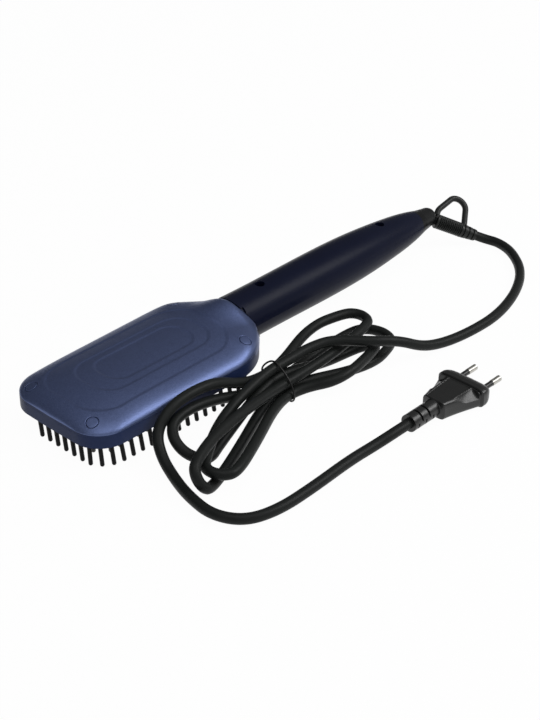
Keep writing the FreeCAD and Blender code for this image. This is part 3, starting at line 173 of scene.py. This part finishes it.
# Back cover. A thin domed shell that narrows into the round neck, with three shallow recessed rings,
# sprayed in slate-blue paint with fine metal flakes. Its side wall is bare navy plastic. Four screws hold it.
MM = 0.001
HEAD_END, END_BOW, END_HALF_WIDTH = -178.5, 0.8, 41.0
WALL_FOOT, PAINT_EDGE, SHOULDER = 21.5, 23.2, 23.3
SEAM_X, SEAM_SLOPE, NECK_TOP = -30.5, 0.47, 39.8
CREST_RISE, CREST_RUN = 11.7, 47.0
NECK_RUN, RIDGE_RISE, RIDGE_HALF_WIDTH = 30.0, 5.6, 22.0
SHOULDER_X, SHOULDER_RUN, SHOULDER_POWER = -48.0, 9.0, 0.6
SINK_X, SINK_RUN, SINK_SHARE, SHOULDER_DROP = -34.0, 12.0, 0.4, 0.3
PLAN = [(-16.0, -16.8, 0.0), (-22.5, -16.8, 6.0), (-28.5, -25.6, 15.0), (-48.0, -43.9, 46.0),
        (-177.7, -41.0, 20.0), (HEAD_END, 0.0, 0.0)]
RINGS = [(-167.0, -50.0, 30.0, 20.0), (-150.0, -58.0, 19.3, 15.0), (-137.5, -68.5, 13.4, 11.0)]
RING_DEPTH, RING_SLOPE = 0.42, 2.3
SCREWS = np.array([(-169.5, -27.2), (-169.5, 27.2), (-48.3, -32.4), (-48.3, 32.4)])
SCREW_PIT_RADIUS, SCREW_PIT_DEPTH = 4.7, 1.2


def eased(share):
    """Smooth step from 0 to 1."""
    share = np.clip(share, 0, 1)
    return share * share * (3 - 2 * share)


def rounded_line(corners, step):
    """Line through corners (a, b, radius) in a plane, each rounded by a tangent arc, as points about
    a step apart."""
    corners = np.array(corners, float)
    place, radius = corners[:, :2], corners[:, 2]
    pieces = [place[:1]]
    for i in range(1, len(corners) - 1):
        back, ahead = place[i - 1] - place[i], place[i + 1] - place[i]
        back, ahead = back / np.linalg.norm(back), ahead / np.linalg.norm(ahead)
        half = (math.pi - math.acos(back @ ahead)) / 2
        reach = radius[i] * math.tan(half)
        middle = place[i] + (back + ahead) / np.linalg.norm(back + ahead) * radius[i] / math.cos(half)
        share = np.linspace(0, 1, 60)[:, None] * 2 * half
        turn = back * reach * np.sin(2 * half - share) + ahead * reach * np.sin(share)
        turn += (place[i] - middle) * (np.sin(2 * half - share) + np.sin(share))
        pieces.append(middle + turn / math.sin(2 * half))
    line = np.vstack(pieces + [place[-1:]])
    along = np.r_[0, np.cumsum(np.linalg.norm(np.diff(line, axis=0), axis=1))]
    evenly = np.linspace(0, along[-1], int(along[-1] / step))
    return np.stack([np.interp(evenly, along, line[:, 0]), np.interp(evenly, along, line[:, 1])], 1)


def closed_mesh(name, grid, caps=(True, True), ring=False):
    """Mesh on points (along, around, 3), closed round each row. Its ends are capped, or meet in a ring.
    Points that fall together are merged, and edges over 40 degrees are sharp."""
    rows, columns = grid.shape[:2]
    index = np.arange(rows * columns).reshape(rows, columns)
    here, there = (index, np.roll(index, -1, 0)) if ring else (index[:-1], index[1:])
    faces = np.stack([here, np.roll(here, -1, 1), np.roll(there, -1, 1), there], -1)
    faces = faces.reshape(-1, 4).tolist()
    if not ring:
        faces += [index[0][::-1].tolist()] * caps[0] + [index[-1].tolist()] * caps[1]
    mesh = bpy.data.meshes.new(name)
    mesh.from_pydata((grid.reshape(-1, 3) * MM).tolist(), [], faces)
    weld = bmesh.new()
    weld.from_mesh(mesh)
    bmesh.ops.remove_doubles(weld, verts=weld.verts, dist=1e-7)
    weld.to_mesh(mesh)
    weld.free()
    mesh.polygons.foreach_set("use_smooth", np.ones(len(mesh.polygons), bool))
    mesh.set_sharp_from_angle(angle=math.radians(40))
    piece = bpy.data.objects.new(name, mesh)
    bpy.context.scene.collection.objects.link(piece)
    return piece


PLAN_LINE = rounded_line(PLAN, 0.35)


def back_height(x, y):
    """Height of the cover's back. Half-ellipses as wide as the plan stand across the head, under a crest
    that rises from the end. Near the neck they sink a little, and a round ridge swells up in the middle.
    Each ring lowers the ground inside it by a soft step."""
    from_end = x - HEAD_END - END_BOW * np.minimum(np.abs(y) / END_HALF_WIDTH, 1)
    crest = CREST_RISE * np.sqrt(1 - (1 - np.clip(from_end / CREST_RUN, 0, 1)) ** 2)
    neck = eased(1 - (SEAM_X - x) / NECK_RUN)
    order = np.argsort(PLAN_LINE[:, 0])
    wide = np.interp(x, PLAN_LINE[order, 0], -PLAN_LINE[order, 1]) + 1e-3
    power = 2 + SHOULDER_POWER * np.exp(-((x - SHOULDER_X) / SHOULDER_RUN) ** 2)
    across = np.clip(1 - (np.abs(y) / wide) ** power, 0, 1) ** (1 / power)
    sunk = 1 - SINK_SHARE * eased((x - SINK_X) / SINK_RUN)
    ridge = RIDGE_RISE * neck * np.clip(1 - (y / RIDGE_HALF_WIDTH) ** 2, 0, 1) ** 2
    height = SHOULDER - SHOULDER_DROP * neck + crest * sunk * across + ridge
    for start, end, side, radius in RINGS:
        out_x = np.abs(x - (start + end) / 2) - (end - start) / 2 + radius
        out_y = np.abs(y) - side + radius
        apart = np.hypot(np.maximum(out_x, 0), np.maximum(out_y, 0))
        outside = apart + np.minimum(np.maximum(out_x, out_y), 0) - radius
        height = height - RING_DEPTH * eased(0.5 - outside / RING_SLOPE)
    return height


def cover_grid():
    """Sections from the seam to the end: up the near wall, over the back along lines to the spine, down the
    far wall. The lines fan out round the end and lean back near the neck, where the seam slopes. Under each
    screw plug the skin is sunk."""
    fan, lean = -139.0, 8.0
    seam_foot = SEAM_X + SEAM_SLOPE * (NECK_TOP - WALL_FOOT)
    edge = PLAN_LINE[PLAN_LINE[:, 0] < seam_foot]
    leaning = edge[:, 0] - lean * eased((edge[:, 0] + 60) / 38)
    spine = np.where(edge[:, 0] > fan, leaning, fan + 0.12 * (edge[:, 0] - fan))
    share = 1 - np.cos(np.linspace(0, math.pi / 2, 110))
    near_x = edge[:, :1] + (spine[:, None] - edge[:, :1]) * share
    near_y = edge[:, 1:] * (1 - share)
    from_seam = np.abs(edge[:, 0] - edge[0, 0])[:, None]
    flat_x = near_x
    for _ in range(3):
        shift = SEAM_X + SEAM_SLOPE * (NECK_TOP - back_height(near_x[0], near_y[0])) - flat_x[0]
        near_x = flat_x + shift * eased(1 - from_seam / NECK_RUN)
    z = back_height(near_x, near_y)
    from_screw = np.hypot(near_x[..., None] - SCREWS[:, 0], near_y[..., None] - SCREWS[:, 1]).min(-1)
    z = z - SCREW_PIT_DEPTH * eased((SCREW_PIT_RADIUS - from_screw) / 0.6)
    wall = np.stack([edge[:, 0], edge[:, 1], np.full(len(edge), WALL_FOOT)], -1)[:, None]
    wall[:, 0, 0] += (seam_foot - edge[0, 0]) * eased(1 - from_seam[:, 0] / NECK_RUN)
    near = np.concatenate([wall, np.stack([near_x, near_y, z], -1)], 1)
    return np.concatenate([near, near[:, -2::-1] * (1, -1, 1)], 1)


def flake_paint():
    """Blue paint whose small cells each catch the light a little differently."""
    sockets = {"Metallic": 0.85, "Coat Weight": 0.06, "Coat Roughness": 0.3}
    finish = Finish(bpy.data.materials.new("flake_paint"), sockets)
    place = finish.node("ShaderNodeTexCoord", {}, {}, "Object")
    cell = finish.node("ShaderNodeTexVoronoi", {}, {"Vector": place, "Scale": 3600.0}, "Color")
    flake = finish.node("ShaderNodeSeparateColor", {}, {"Color": cell}, "Red")
    drift = finish.noise(25)
    blue = finish.tint(0.75 * flake + 0.25 * drift, (0.074, 0.1015, 0.215), (0.128, 0.1685, 0.335))
    finish.feed(finish.shader, {"Base Color": blue, "Roughness": 0.43 + (flake - 0.5) * 0.14})
    finish.raise_grain(flake, 6e-6)
    return finish


cover = closed_mesh("back_cover", cover_grid(), (True, False))
blue_paint = flake_paint()
blue_paint.on(cover)
cover.data.materials.append(navy_rim.owner)
middles = np.empty(3 * len(cover.data.polygons))
cover.data.polygons.foreach_get("center", middles)
on_wall = middles[2::3] < PAINT_EDGE * MM
cover.data.polygons.foreach_set("material_index", on_wall.astype(np.int32))
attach(cover, "brush")
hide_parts("head_back_cover")


# Screw plugs. Four round plugs moulded in plastic with the cover's paint, pressed in over its screws.
# A narrow gap is left round each.
PLUG_TOP = [(1e-3, 0.04), (0.8, 0.04), (1.6, 0.04), (2.4, 0.04), (3.0, 0.04), (3.2, 0.03), (3.32, 0.0)]
PLUG_GAP = [(3.4, -0.08), (3.44, -0.25), (3.5, -0.85), (3.86, -0.85), (3.92, -0.25), (3.96, -0.08)]
PLUG_LIP = [(4.04, 0.0), (4.16, 0.03), (4.4, 0.03), (4.9, 0.02), (5.4, -0.06)]
PLUG_UNDER = [(5.4, -0.9), (3.0, -1.6), (1e-3, -1.6)]


def plug_patch(centre):
    """Round patch on the cover's back, a profile of radius and height over the skin turned about the centre:
    the plug's flush top, the gap down and up, a lip that fades into the skin, and back underneath."""
    around = np.linspace(0, 2 * math.pi, 96, endpoint=False)
    radius, level = np.array(PLUG_TOP + PLUG_GAP + PLUG_LIP + PLUG_UNDER).T[..., None]
    x = centre[0] + radius * np.cos(around)
    y = centre[1] + radius * np.sin(around)
    return np.stack([x, y, back_height(x, y) + level], -1)[::-1]


plugs = closed_mesh("screw_plug", plug_patch(SCREWS[0]))
for count in range(1, 4):
    other = closed_mesh("screw_plug_part", plug_patch(SCREWS[count]))
    both = bmesh.new()
    both.from_mesh(plugs.data)
    both.from_mesh(other.data)
    both.to_mesh(plugs.data)
    both.free()
    bpy.data.objects.remove(other)
blue_paint.on(plugs)
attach(plugs, "brush")
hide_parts("cover_screw_plugs")


# Handle. Two moulded halves in dark navy, black on the last millimetres before the end cap, screwed
# together through two open wells on the ridge, with a tongue that plugs into the head's neck.
BLACK_FROM = 157.0
END_BLACK = (0.006, 0.0065, 0.007)


def blacken_end(finish):
    """Beyond one place along the handle the colour is black, and before it what it was."""
    place = finish.node("ShaderNodeTexCoord", {}, {}, "Object")
    along = finish.node("ShaderNodeSeparateXYZ", {}, {"Vector": place}, "X")
    beyond = along.math("GREATER_THAN", along, BLACK_FROM * MM)
    before = Value(finish, finish.shader.inputs["Base Color"].links[0].from_socket)
    sockets = {0: beyond, 6: before, 7: (*END_BLACK, 1)}
    colour = finish.node("ShaderNodeMix", {"data_type": "RGBA"}, sockets, 2)
    finish.feed(finish.shader, {"Base Color": colour})


navy_satin = mottled("navy_satin", (0.0036, 0.0052, 0.0165), (0.0054, 0.0076, 0.0222), 0.33, 0.08, 30, 2800,
                     6e-6, Specular_IOR_Level=0.08)
blacken_end(navy_satin)
navy_satin.on("handle_rear_shell", "handle_front_shell")


# Board, switches and wires inside the handle. A glass-fibre board with moulded parts, screwed to two posts
# of the lower shell; silicone-sleeved wires run to the elements and to the cord.
solder_mask = mottled("solder_mask", (0.012, 0.085, 0.035), (0.020, 0.120, 0.050), 0.35, 0.15, 400, 3000,
                      1e-5)
solder_mask.on("main_board")
moulded_black = mottled("moulded_black", (0.008, 0.008, 0.009), (0.014, 0.014, 0.016), 0.36, 0.12, 120,
                        3000, 8e-6)
moulded_black.on("board_parts", "tact_switches", "power_plunger", "temperature_plunger", "ball_retainer")
wire_sleeve = mottled("wire_sleeve", (0.50, 0.49, 0.46), (0.62, 0.61, 0.58), 0.55, 0.15, 200, 2500, 1e-5)
wire_sleeve.on("heater_leads", "mains_leads")


# Buttons and lens on the handle's lower side. Glossy navy caps that follow the handle's round, pressed
# against the switches by hand and pushed back by them, and a clear light pipe.
navy_gloss = mottled("navy_gloss", (0.0060, 0.0075, 0.0210), (0.0080, 0.0100, 0.0270), 0.14, 0.06, 60, 2500,
                     3e-6, Coat_Weight=0.3)
navy_gloss.on("power_button", "temperature_button")
clear_pipe = mottled("clear_pipe", (0.72, 0.75, 0.78), (0.82, 0.85, 0.88), 0.10, 0.05, 200, 3000, 2e-6,
                     Transmission_Weight=0.6)
clear_pipe.on("indicator_lens")


# End cap and swivel. A black cap on a spigot closes the handle; the cord's ball turns in its socket, so
# that the cord doesn't twist.
cap_black = mottled("cap_black", (0.0045, 0.0050, 0.0055), (0.0075, 0.0080, 0.0085), 0.33, 0.10, 120, 3000,
                    6e-6, Specular_IOR_Level=0.16)
cap_black.on("end_cap", "swivel_ball")


# Strain relief. A soft black sleeve moulded on the swivel's neck: fine ribs round its lower and near side,
# and three coarse ribs at its thin end that let it bend with the cord.
BALL = np.array([171.5, 0.0, 23.0])
EXIT_YAW = math.radians(-41.0)
EXIT_DIP = math.radians(23.9)
EXIT = np.array([math.cos(EXIT_DIP) * math.cos(EXIT_YAW), math.cos(EXIT_DIP) * math.sin(EXIT_YAW),
                 -math.sin(EXIT_DIP)])
EXIT_UP = np.array([math.sin(EXIT_DIP) * math.cos(EXIT_YAW), math.sin(EXIT_DIP) * math.sin(EXIT_YAW),
                    math.cos(EXIT_DIP)])
EXIT_SIDE = np.cross(EXIT, EXIT_UP)
RELIEF_START = BALL + EXIT * 7.4
RELIEF_LENGTH = 32.6
LOOP_LEAN = math.radians(60.0)
LOOP_OUT = math.cos(LOOP_LEAN) * EXIT_UP - math.sin(LOOP_LEAN) * EXIT_SIDE


def relief_grid():
    """Circles along the exit, narrowing to the cord. Fine grooves are cosine waves that fade towards the
    loop's side, and coarse grooves are slots with sloped walls."""
    along = np.linspace(0, RELIEF_LENGTH, 420)[:, None]
    around = np.linspace(0, 2 * math.pi, 72, endpoint=False)[None, :]
    outward = np.cos(around)[..., None] * EXIT_UP + np.sin(around)[..., None] * EXIT_SIDE
    radius = np.interp(along, [0, 0.5, 21.5, 32.2, RELIEF_LENGTH], [5.0, 5.35, 5.15, 4.15, 3.9])
    fine = 0.42 * (1 - np.cos(2 * math.pi * (along - 1.2) / 1.45)) * ((along > 1.2) & (along < 20.05))
    coarse = 0.9 * np.clip((0.6 - np.abs((along - 21.5) % 3.7 - 0.6)) / 0.25, 0, 1) * (along > 21.5)
    radius = radius - fine * eased((0.35 - outward @ LOOP_OUT) / 0.5) - coarse
    return RELIEF_START + along[..., None] * EXIT + radius[..., None] * outward


soft_black = mottled("soft_black", (0.0075, 0.0086, 0.0084), (0.0120, 0.0134, 0.0130), 0.36, 0.12, 200,
                     2600, 1.2e-5, Specular_IOR_Level=0.28)
relief = closed_mesh("strain_relief_sleeve", relief_grid())
soft_black.on(relief)
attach(relief, "cord_swivel")
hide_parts("strain_relief")


# Hanging loop. A round bail of the same soft black, in one moulding with the strain relief, from its
# thick end to its first coarse rib. It leans to the far side.
LOOP_RADIUS = 2.2
LOOP_CORNERS = [(0.86, 4.5, 0.0), (1.2, 9.8, 11.0), (23.8, 40.6, 7.0), (23.25, 3.5, 0.0)]


def flat_tube(line, origin, ahead, out, radius, ring=False):
    """Circles round a line in the plane of two directions, square to the line."""
    turned = np.roll(line, -1, 0) - np.roll(line, 1, 0)
    if not ring:
        turned[0] = line[1] - line[0]
        turned[-1] = line[-1] - line[-2]
    turned /= np.linalg.norm(turned, axis=1, keepdims=True)
    across = np.cross(ahead, out)
    tangent = turned @ np.array([ahead, out])
    normal = np.cross(across, tangent)
    around = np.linspace(0, 2 * math.pi, 28, endpoint=False)
    centre = origin + line @ np.array([ahead, out])
    circle = np.cos(around)[:, None, None] * normal + np.sin(around)[:, None, None] * across
    return centre[:, None] + radius * circle.transpose(1, 0, 2)


loop_line = rounded_line(LOOP_CORNERS, 0.5)
loop = closed_mesh("hanging_bail", flat_tube(loop_line, RELIEF_START, EXIT, LOOP_OUT, LOOP_RADIUS))
soft_black.on(loop)
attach(loop, "cord_swivel")
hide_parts("hanging_loop")


# Tie. A thin wire in black plastic, drawn once round the hank's waist. It stands off the cords on the far
# upper side.
WAIST = np.array([-44.5, -57.5, 0.0])
PASS_LOW = 4.5
PASS_MID = 11.75
PASS_TOP = 19.0
PASSES = {"top": (3.5, PASS_TOP), "mid_near": (-5.6, PASS_MID), "mid": (2.4, PASS_MID),
          "mid_far": (10.1, PASS_MID), "low_near": (-8.9, PASS_LOW), "low": (-1.3, PASS_LOW),
          "low_far": (6.3, PASS_LOW)}
TIE_RADIUS = 0.6
TIE_OFFSET = 4.15
TIE_BULGE, BULGE_ANGLE, BULGE_SPREAD = 0.7, math.radians(38), 0.4


def tie_line():
    """Line round the passes, square to the hank: at each angle the passes' soft outermost point plus the
    offset, and a low bulge that stands off on the far side. Under the hank it lies on the table."""
    turn = np.linspace(0, 2 * math.pi, 240, endpoint=False)
    outward = np.stack([np.cos(turn), np.sin(turn)], 1)
    passes = np.array(list(PASSES.values()))
    reach = outward @ passes.T
    weight = np.exp(reach - reach.max(1, keepdims=True))
    middle = weight @ passes / weight.sum(1, keepdims=True)
    beyond = reach.max(1) + np.log(weight.sum(1)) - (middle * outward).sum(1)
    bulge = TIE_BULGE * np.exp(-((turn - BULGE_ANGLE) / BULGE_SPREAD) ** 2)
    line = middle + outward * (TIE_OFFSET + beyond + bulge)[:, None]
    return np.maximum(line, (-np.inf, TIE_RADIUS))


ACROSS, UP = np.eye(3)[1], np.eye(3)[2]
tie_points = flat_tube(tie_line(), WAIST, ACROSS, UP, TIE_RADIUS, True)
tie = closed_mesh("hank_tie", tie_points, ring=True)
tie_wire = mottled("tie_wire", (0.005, 0.005, 0.005), (0.009, 0.009, 0.009), 0.30, 0.1, 400, 3000, 5e-6,
                   Specular_IOR_Level=0.3)
tie_wire.on(tie)
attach(tie, "brush")
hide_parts("cord_tie")


# Plug. A flat two-pin plug moulded round the cord's end in black vinyl: a slotted round relief, a body that
# flares with scooped flanks to a plain front band, and turned nickel-plated pins, black-sleeved by half.
PLUG_CENTRE = np.array([0.0, -141.2, 6.85])
PLUG_BACK, PLUG_NECK, PLUG_BAND, PLUG_FACE = -20.5, 2.5, 30.0, 39.2
RELIEF_HALF, BODY_HALF_HEIGHT = 5.7, 6.35
BAND_HALF_WIDTH, BAND_HALF_HEIGHT = 17.65, 6.85
BODY_START, BODY_FLARE = 2.7, 8.2
FRONT_RUN, NOSE_RADIUS = 6.5, 0.9
FLANK_FALL, PANEL_DEPTH, SLOT_SHARE = 5.2, 0.5, 0.28
RELIEF_SLOTS = [(-17.0, 250.0), (-13.6, 100.0), (-10.2, 250.0), (-6.8, 100.0), (-3.4, 250.0)]


def plug_grid():
    """Rounded sections along the plug, from a circle to a flat superellipse that widens towards the band.
    Outside a ridge on each side the top falls in a hollow to the flank. The top panel is sunk, slots cut
    the relief on alternate sides, a groove sets off the band, whose front edge falls away to the face."""
    x = np.linspace(PLUG_BACK, PLUG_FACE, 420)[:, None]
    around = np.linspace(0, 2 * math.pi, 240, endpoint=False)[None, :]
    on_body = eased((x - PLUG_NECK) / 0.9)
    flare = np.clip((x - PLUG_NECK) / (PLUG_BAND - PLUG_NECK), 0, 1)
    on_band = eased((x - PLUG_BAND) / 0.4)
    groove = np.sqrt(np.clip(1 - np.abs(x - PLUG_BAND + 0.6) / 0.6, 0, 1))
    front = np.clip((x - PLUG_FACE) / FRONT_RUN + 1, 0, 1) ** 2
    nose = np.clip((x - PLUG_FACE) / NOSE_RADIUS + 1, 0, 1)
    nose = NOSE_RADIUS * (1 - np.sqrt(1 - nose ** 2))
    half_width = RELIEF_HALF + on_body * (BODY_START + BODY_FLARE * flare ** 1.25)
    half_width += on_band * (BAND_HALF_WIDTH - half_width) - groove - 2.4 * front - nose
    half_height = RELIEF_HALF + on_body * (BODY_HALF_HEIGHT - RELIEF_HALF)
    half_height += on_band * (BAND_HALF_HEIGHT - half_height) - groove - 2.2 * front - nose
    power = 2 + 3.0 * on_body
    cosine, sine = np.cos(around), np.sin(around)
    y = half_width * np.sign(cosine) * np.abs(cosine) ** (2 / power)
    z = half_height * np.sign(sine) * np.abs(sine) ** (2 / power)
    open_body = eased((PLUG_BAND - 1.3 - x) / 0.8)
    ridge = np.minimum(half_width - 0.3, 7.6 + 1.6 * flare)
    share = np.clip((np.abs(y) - ridge) / (half_width - ridge), 0, 1)
    fall = FLANK_FALL * eased((flare - 0.12) / 0.55) * open_body
    z = np.minimum(z, half_height - fall * share ** 0.75)
    panel = eased((ridge - 0.9 - np.abs(y)) / 0.4) * (z > 0) * eased((x - PLUG_NECK - 1.6) / 0.4)
    z = z - PANEL_DEPTH * panel * open_body
    for start, middle in RELIEF_SLOTS:
        cut = eased(1.5 - np.abs(x - start) / 0.55)
        cut = cut * eased((np.cos(around - math.radians(middle)) - 0.15) / 0.25)
        y = y * (1 - SLOT_SHARE * cut)
        z = z * (1 - SLOT_SHARE * cut)
    return PLUG_CENTRE + np.stack([x + 0 * y, y, z], -1)


plug = closed_mesh("mains_plug", plug_grid())
plug_vinyl = mottled("plug_vinyl", (0.0050, 0.0054, 0.0054), (0.0085, 0.0090, 0.0090), 0.28, 0.12, 180,
                     2400, 1.2e-5, Specular_IOR_Level=0.50)
plug_vinyl.on(plug, "plug_pin_sleeves")
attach(plug, "brush")
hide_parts("plug_body")
pin_nickel = mottled("pin_nickel", (0.46, 0.45, 0.415), (0.60, 0.585, 0.545), 0.27, 0.12, 500, 5000, 4e-6,
                     Metallic=1.0)
pin_nickel.on("plug_pins")


# Cord. 1.9 m of round two-core lead in black rubber, 6.8 mm thick. It leaves the strain relief, lies on the
# table, is folded three times each way through a tied waist, and runs on to the plug.
CORD_RADIUS = 3.4
CORD_EXIT = BALL + EXIT * 40.0
EXIT_RUN = 8.0
LEAD = np.array([(207, -40, 3.6), (201.5, -56, 3.6), (183.5, -77, 3.6), (155.5, -92, 3.6),
                 (123.5, -100.5, 3.6), (95.5, -100.5, 3.6), (72.5, -97, 3.6), (52.5, -93.5, 7.5),
                 (35.5, -87, 17), (17.5, -78, 20.6), (2.5, -60.5, 21.2), (-14, -55.3, 20.6)])
TAIL = np.array([(-71.5, -48.8, 17.8), (-89.5, -48, 27), (-109.5, -47.8, 29.5), (-127.5, -47.8, 27),
                 (-141.5, -50.3, 17.7), (-147.5, -61, 8.5), (-152.5, -77, 3.6), (-158.5, -95, 3.6),
                 (-161.5, -116, 3.6), (-152.5, -133, 3.6), (-132.5, -139.5, 3.6), (-104.5, -139.5, 3.6),
                 (-69.5, -137.5, 3.6), (-47.5, -138.6, 3.9)])
PLUG_END = PLUG_CENTRE + (PLUG_BACK, 0, 0)
PLUG_RUN = (13.0, 0, 0)
WAIST_RUN = 11.0
FOLDS = [(-1, "top", "low_near", 86, -36.5, 11.5, 10.5, 24, 2, 0.50, 0.34, 7, 0),
         (1, "low_near", "mid", 63, -11.5, 7.75, 10.5, -10, 156, 0.70, 0.35, -0.8, 6.8),
         (-1, "mid", "low_far", 75, -6.5, 11.6, 16.6, 0, 208, 0.12, 0.30, 7, 0),
         (1, "low_far", "low", 82, -2, 3.6, 15.6, -12.5, 0, 0.60, 0.34, 7.5, 0),
         (-1, "low", "mid_near", 99, -35.5, 11.5, 9.4, 22, 238, 0.34, 0.34, 0, 0),
         (1, "mid_near", "mid_far", 82, 11.9, 13.1, 10.5, 0, 180, 0.50, 0.34, -6.4, 5)]
TURN_ANGLES = np.radians([22.5, 67.5, 112.5, 157.5])


def waist_pass(side, name):
    """Where the cord meets one side of the waist on a named pass."""
    return WAIST + np.array([side * WAIST_RUN, *PASSES[name]])


def fold(side, out_pass, back_pass, reach, swing, height, radius, heading, tilt, out_share, back_share,
         out_bow, back_bow):
    """One fold: a leg out of the waist, a half turn on four points round a circle, and a leg back in."""
    h, t = math.radians(heading), math.radians(tilt)
    ahead = np.array([side * math.cos(h), -math.sin(h), 0])
    across = np.array([side * math.sin(h), math.cos(h), 0])
    out_side = across * math.cos(t) + np.array([0, 0, math.sin(t)])
    centre = WAIST + np.array([side * reach, swing, height])
    corner = radius / math.cos(TURN_ANGLES[0])
    turn = np.outer(np.sin(TURN_ANGLES), ahead) + np.outer(np.cos(TURN_ANGLES), out_side)
    turn = centre + corner * turn
    out, back = centre + out_side * radius, centre - out_side * radius
    start, end = waist_pass(side, out_pass), waist_pass(side, back_pass)
    out_middle = out - ahead * (np.linalg.norm(out - start) * out_share) + across * out_bow
    back_middle = back - ahead * (np.linalg.norm(back - end) * back_share) + across * back_bow
    return np.vstack([start, out_middle, turn, back_middle, end])


def cord_route():
    """Control points of the whole cord, from the strain relief to the plug."""
    lead = [CORD_EXIT, CORD_EXIT + EXIT * EXIT_RUN, LEAD, waist_pass(1, "top")]
    hank = [fold(*settings) for settings in FOLDS]
    tail = [waist_pass(-1, "mid_far"), TAIL, PLUG_END - PLUG_RUN, PLUG_END]
    return np.vstack(lead + hank + tail)


def smooth_line(name, points, radius, steps):
    """Curve object with one open spline of order 3 on the control points, thickened to the radius."""
    curve = bpy.data.curves.new(name, "CURVE")
    curve.dimensions = "3D"
    spline = curve.splines.new("NURBS")
    spline.points.add(len(points) - 1)
    spline.points.foreach_set("co", np.c_[points, np.ones(len(points))].ravel())
    spline.order_u = 3
    spline.use_endpoint_u = True
    spline.resolution_u = steps
    curve.bevel_depth = radius
    curve.bevel_resolution = 5
    curve.use_fill_caps = True
    piece = bpy.data.objects.new(name, curve)
    bpy.context.scene.collection.objects.link(piece)
    return piece


cord = smooth_line("cord", cord_route() * MM, CORD_RADIUS * MM, 10)
cord_rubber = mottled("cord_rubber", (0.0085, 0.0098, 0.0094), (0.0135, 0.0150, 0.0145), 0.42, 0.14, 150,
                      2200, 1.5e-5, Specular_IOR_Level=0.13)
cord_rubber.on(cord)
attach(cord, "brush")
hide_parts("cord_lead", "cord_hank", "cord_tail")


# Table, light and camera. A white table, a soft lamp over the near right, a weaker one above, and grey light
# all round that darkens towards the far side. The camera stands where the photo was taken from.
TABLE_HALF, TABLE_Z = 6.0, -2e-4


def white_table():
    """White surface that keeps a faint shadow: part lit, part plain white to the eye and in reflections."""
    mesh = bpy.data.meshes.new("table")
    corners = [(x * TABLE_HALF, y * TABLE_HALF, TABLE_Z) for x, y in ((-1, -1), (1, -1), (1, 1), (-1, 1))]
    mesh.from_pydata(corners, [], [(0, 1, 2, 3)])
    table = bpy.data.objects.new("table", mesh)
    bpy.context.scene.collection.objects.link(table)
    sockets = {"Base Color": (0.9, 0.9, 0.9, 1), "Roughness": 0.9, "Specular IOR Level": 0.0}
    finish = Finish(bpy.data.materials.new("table_white"), sockets)
    eye, mirror, through = [finish.node("ShaderNodeLightPath", {}, {}, ray)
                            for ray in ("Is Camera Ray", "Is Glossy Ray", "Is Transmission Ray")]
    seen = eye.math("MAXIMUM", eye.math("MAXIMUM", eye, mirror), through)
    plain = finish.node("ShaderNodeEmission", {}, {"Color": (1, 1, 1, 1), "Strength": 1.0})
    lit = Value(finish, finish.shader.outputs[0])
    mixed = finish.node("ShaderNodeMixShader", {}, {0: seen * 0.97, 1: lit, 2: plain})
    finish.feed(finish.tree.nodes["Material Output"], {"Surface": mixed})
    finish.on(table)


def soft_lamp(name, place, aim, width, height, power):
    """Rectangular lamp at a place, facing the aim."""
    lamp = bpy.data.lights.new(name, "AREA")
    lamp.shape = "RECTANGLE"
    lamp.size, lamp.size_y, lamp.energy = width, height, power
    holder = bpy.data.objects.new(name, lamp)
    holder.location = place
    direction = np.array(aim) - np.array(place)
    yaw = math.atan2(direction[1], direction[0])
    pitch = math.atan2(-direction[2], math.hypot(direction[0], direction[1]))
    holder.rotation_euler = (math.pi / 2 - pitch, 0, yaw - math.pi / 2)
    bpy.context.scene.collection.objects.link(holder)


def grey_sky():
    """Sky whose strength falls evenly from the near side to the far side."""
    sky = Finish(bpy.data.worlds.new("studio"), {"Color": (1, 1, 1, 1)}, "Background")
    direction = sky.node("ShaderNodeTexCoord", {}, {}, "Generated")
    farness = sky.node("ShaderNodeSeparateXYZ", {}, {"Vector": direction}, "Y")
    sockets = {"Value": farness, "From Min": 0.85, "From Max": -0.5, "To Min": 0.10, "To Max": 0.55}
    sky.feed(sky.shader, {"Strength": sky.node("ShaderNodeMapRange", {}, sockets)})
    bpy.context.scene.world = sky.owner


white_table()
soft_lamp("key_lamp", (0.80, -0.86, 1.05), (-0.05, -0.05, 0), 0.8, 0.8, 10)
soft_lamp("top_lamp", (-0.3, -0.3, 1.5), (0, 0, 0), 1.2, 1.2, 5)
grey_sky()
bpy.context.scene.view_settings.view_transform = "Standard"

AIM = np.array([-44.5, 0.0, 0.0]) * MM
ELEVATION = math.radians(32.296)
AZIMUTH = math.radians(-46.831)
ROLL = math.radians(0.258)
DISTANCE = 1036.35 * MM
OFF_CENTRE = (-36.37 * MM, -0.90 * MM)
LENS = 80.82


def photo_camera():
    """Camera on a sphere round the aim, turned by the roll, with the aim off the picture's centre."""
    back = np.array([math.sin(AZIMUTH) * math.cos(ELEVATION), -math.cos(AZIMUTH) * math.cos(ELEVATION),
                     math.sin(ELEVATION)])
    level = np.array([math.cos(AZIMUTH), math.sin(AZIMUTH), 0.0])
    steep = np.cross(back, level)
    right = math.cos(ROLL) * level + math.sin(ROLL) * steep
    up = math.cos(ROLL) * steep - math.sin(ROLL) * level
    place = AIM + back * DISTANCE - right * OFF_CENTRE[0] - up * OFF_CENTRE[1]
    camera = bpy.data.objects.new("camera", bpy.data.cameras.new("camera"))
    camera.data.lens = LENS
    camera.matrix_world = Matrix(np.vstack([np.stack([right, up, back, place], 1), (0, 0, 0, 1)]))
    bpy.context.scene.collection.objects.link(camera)
    bpy.context.scene.camera = camera


photo_camera()
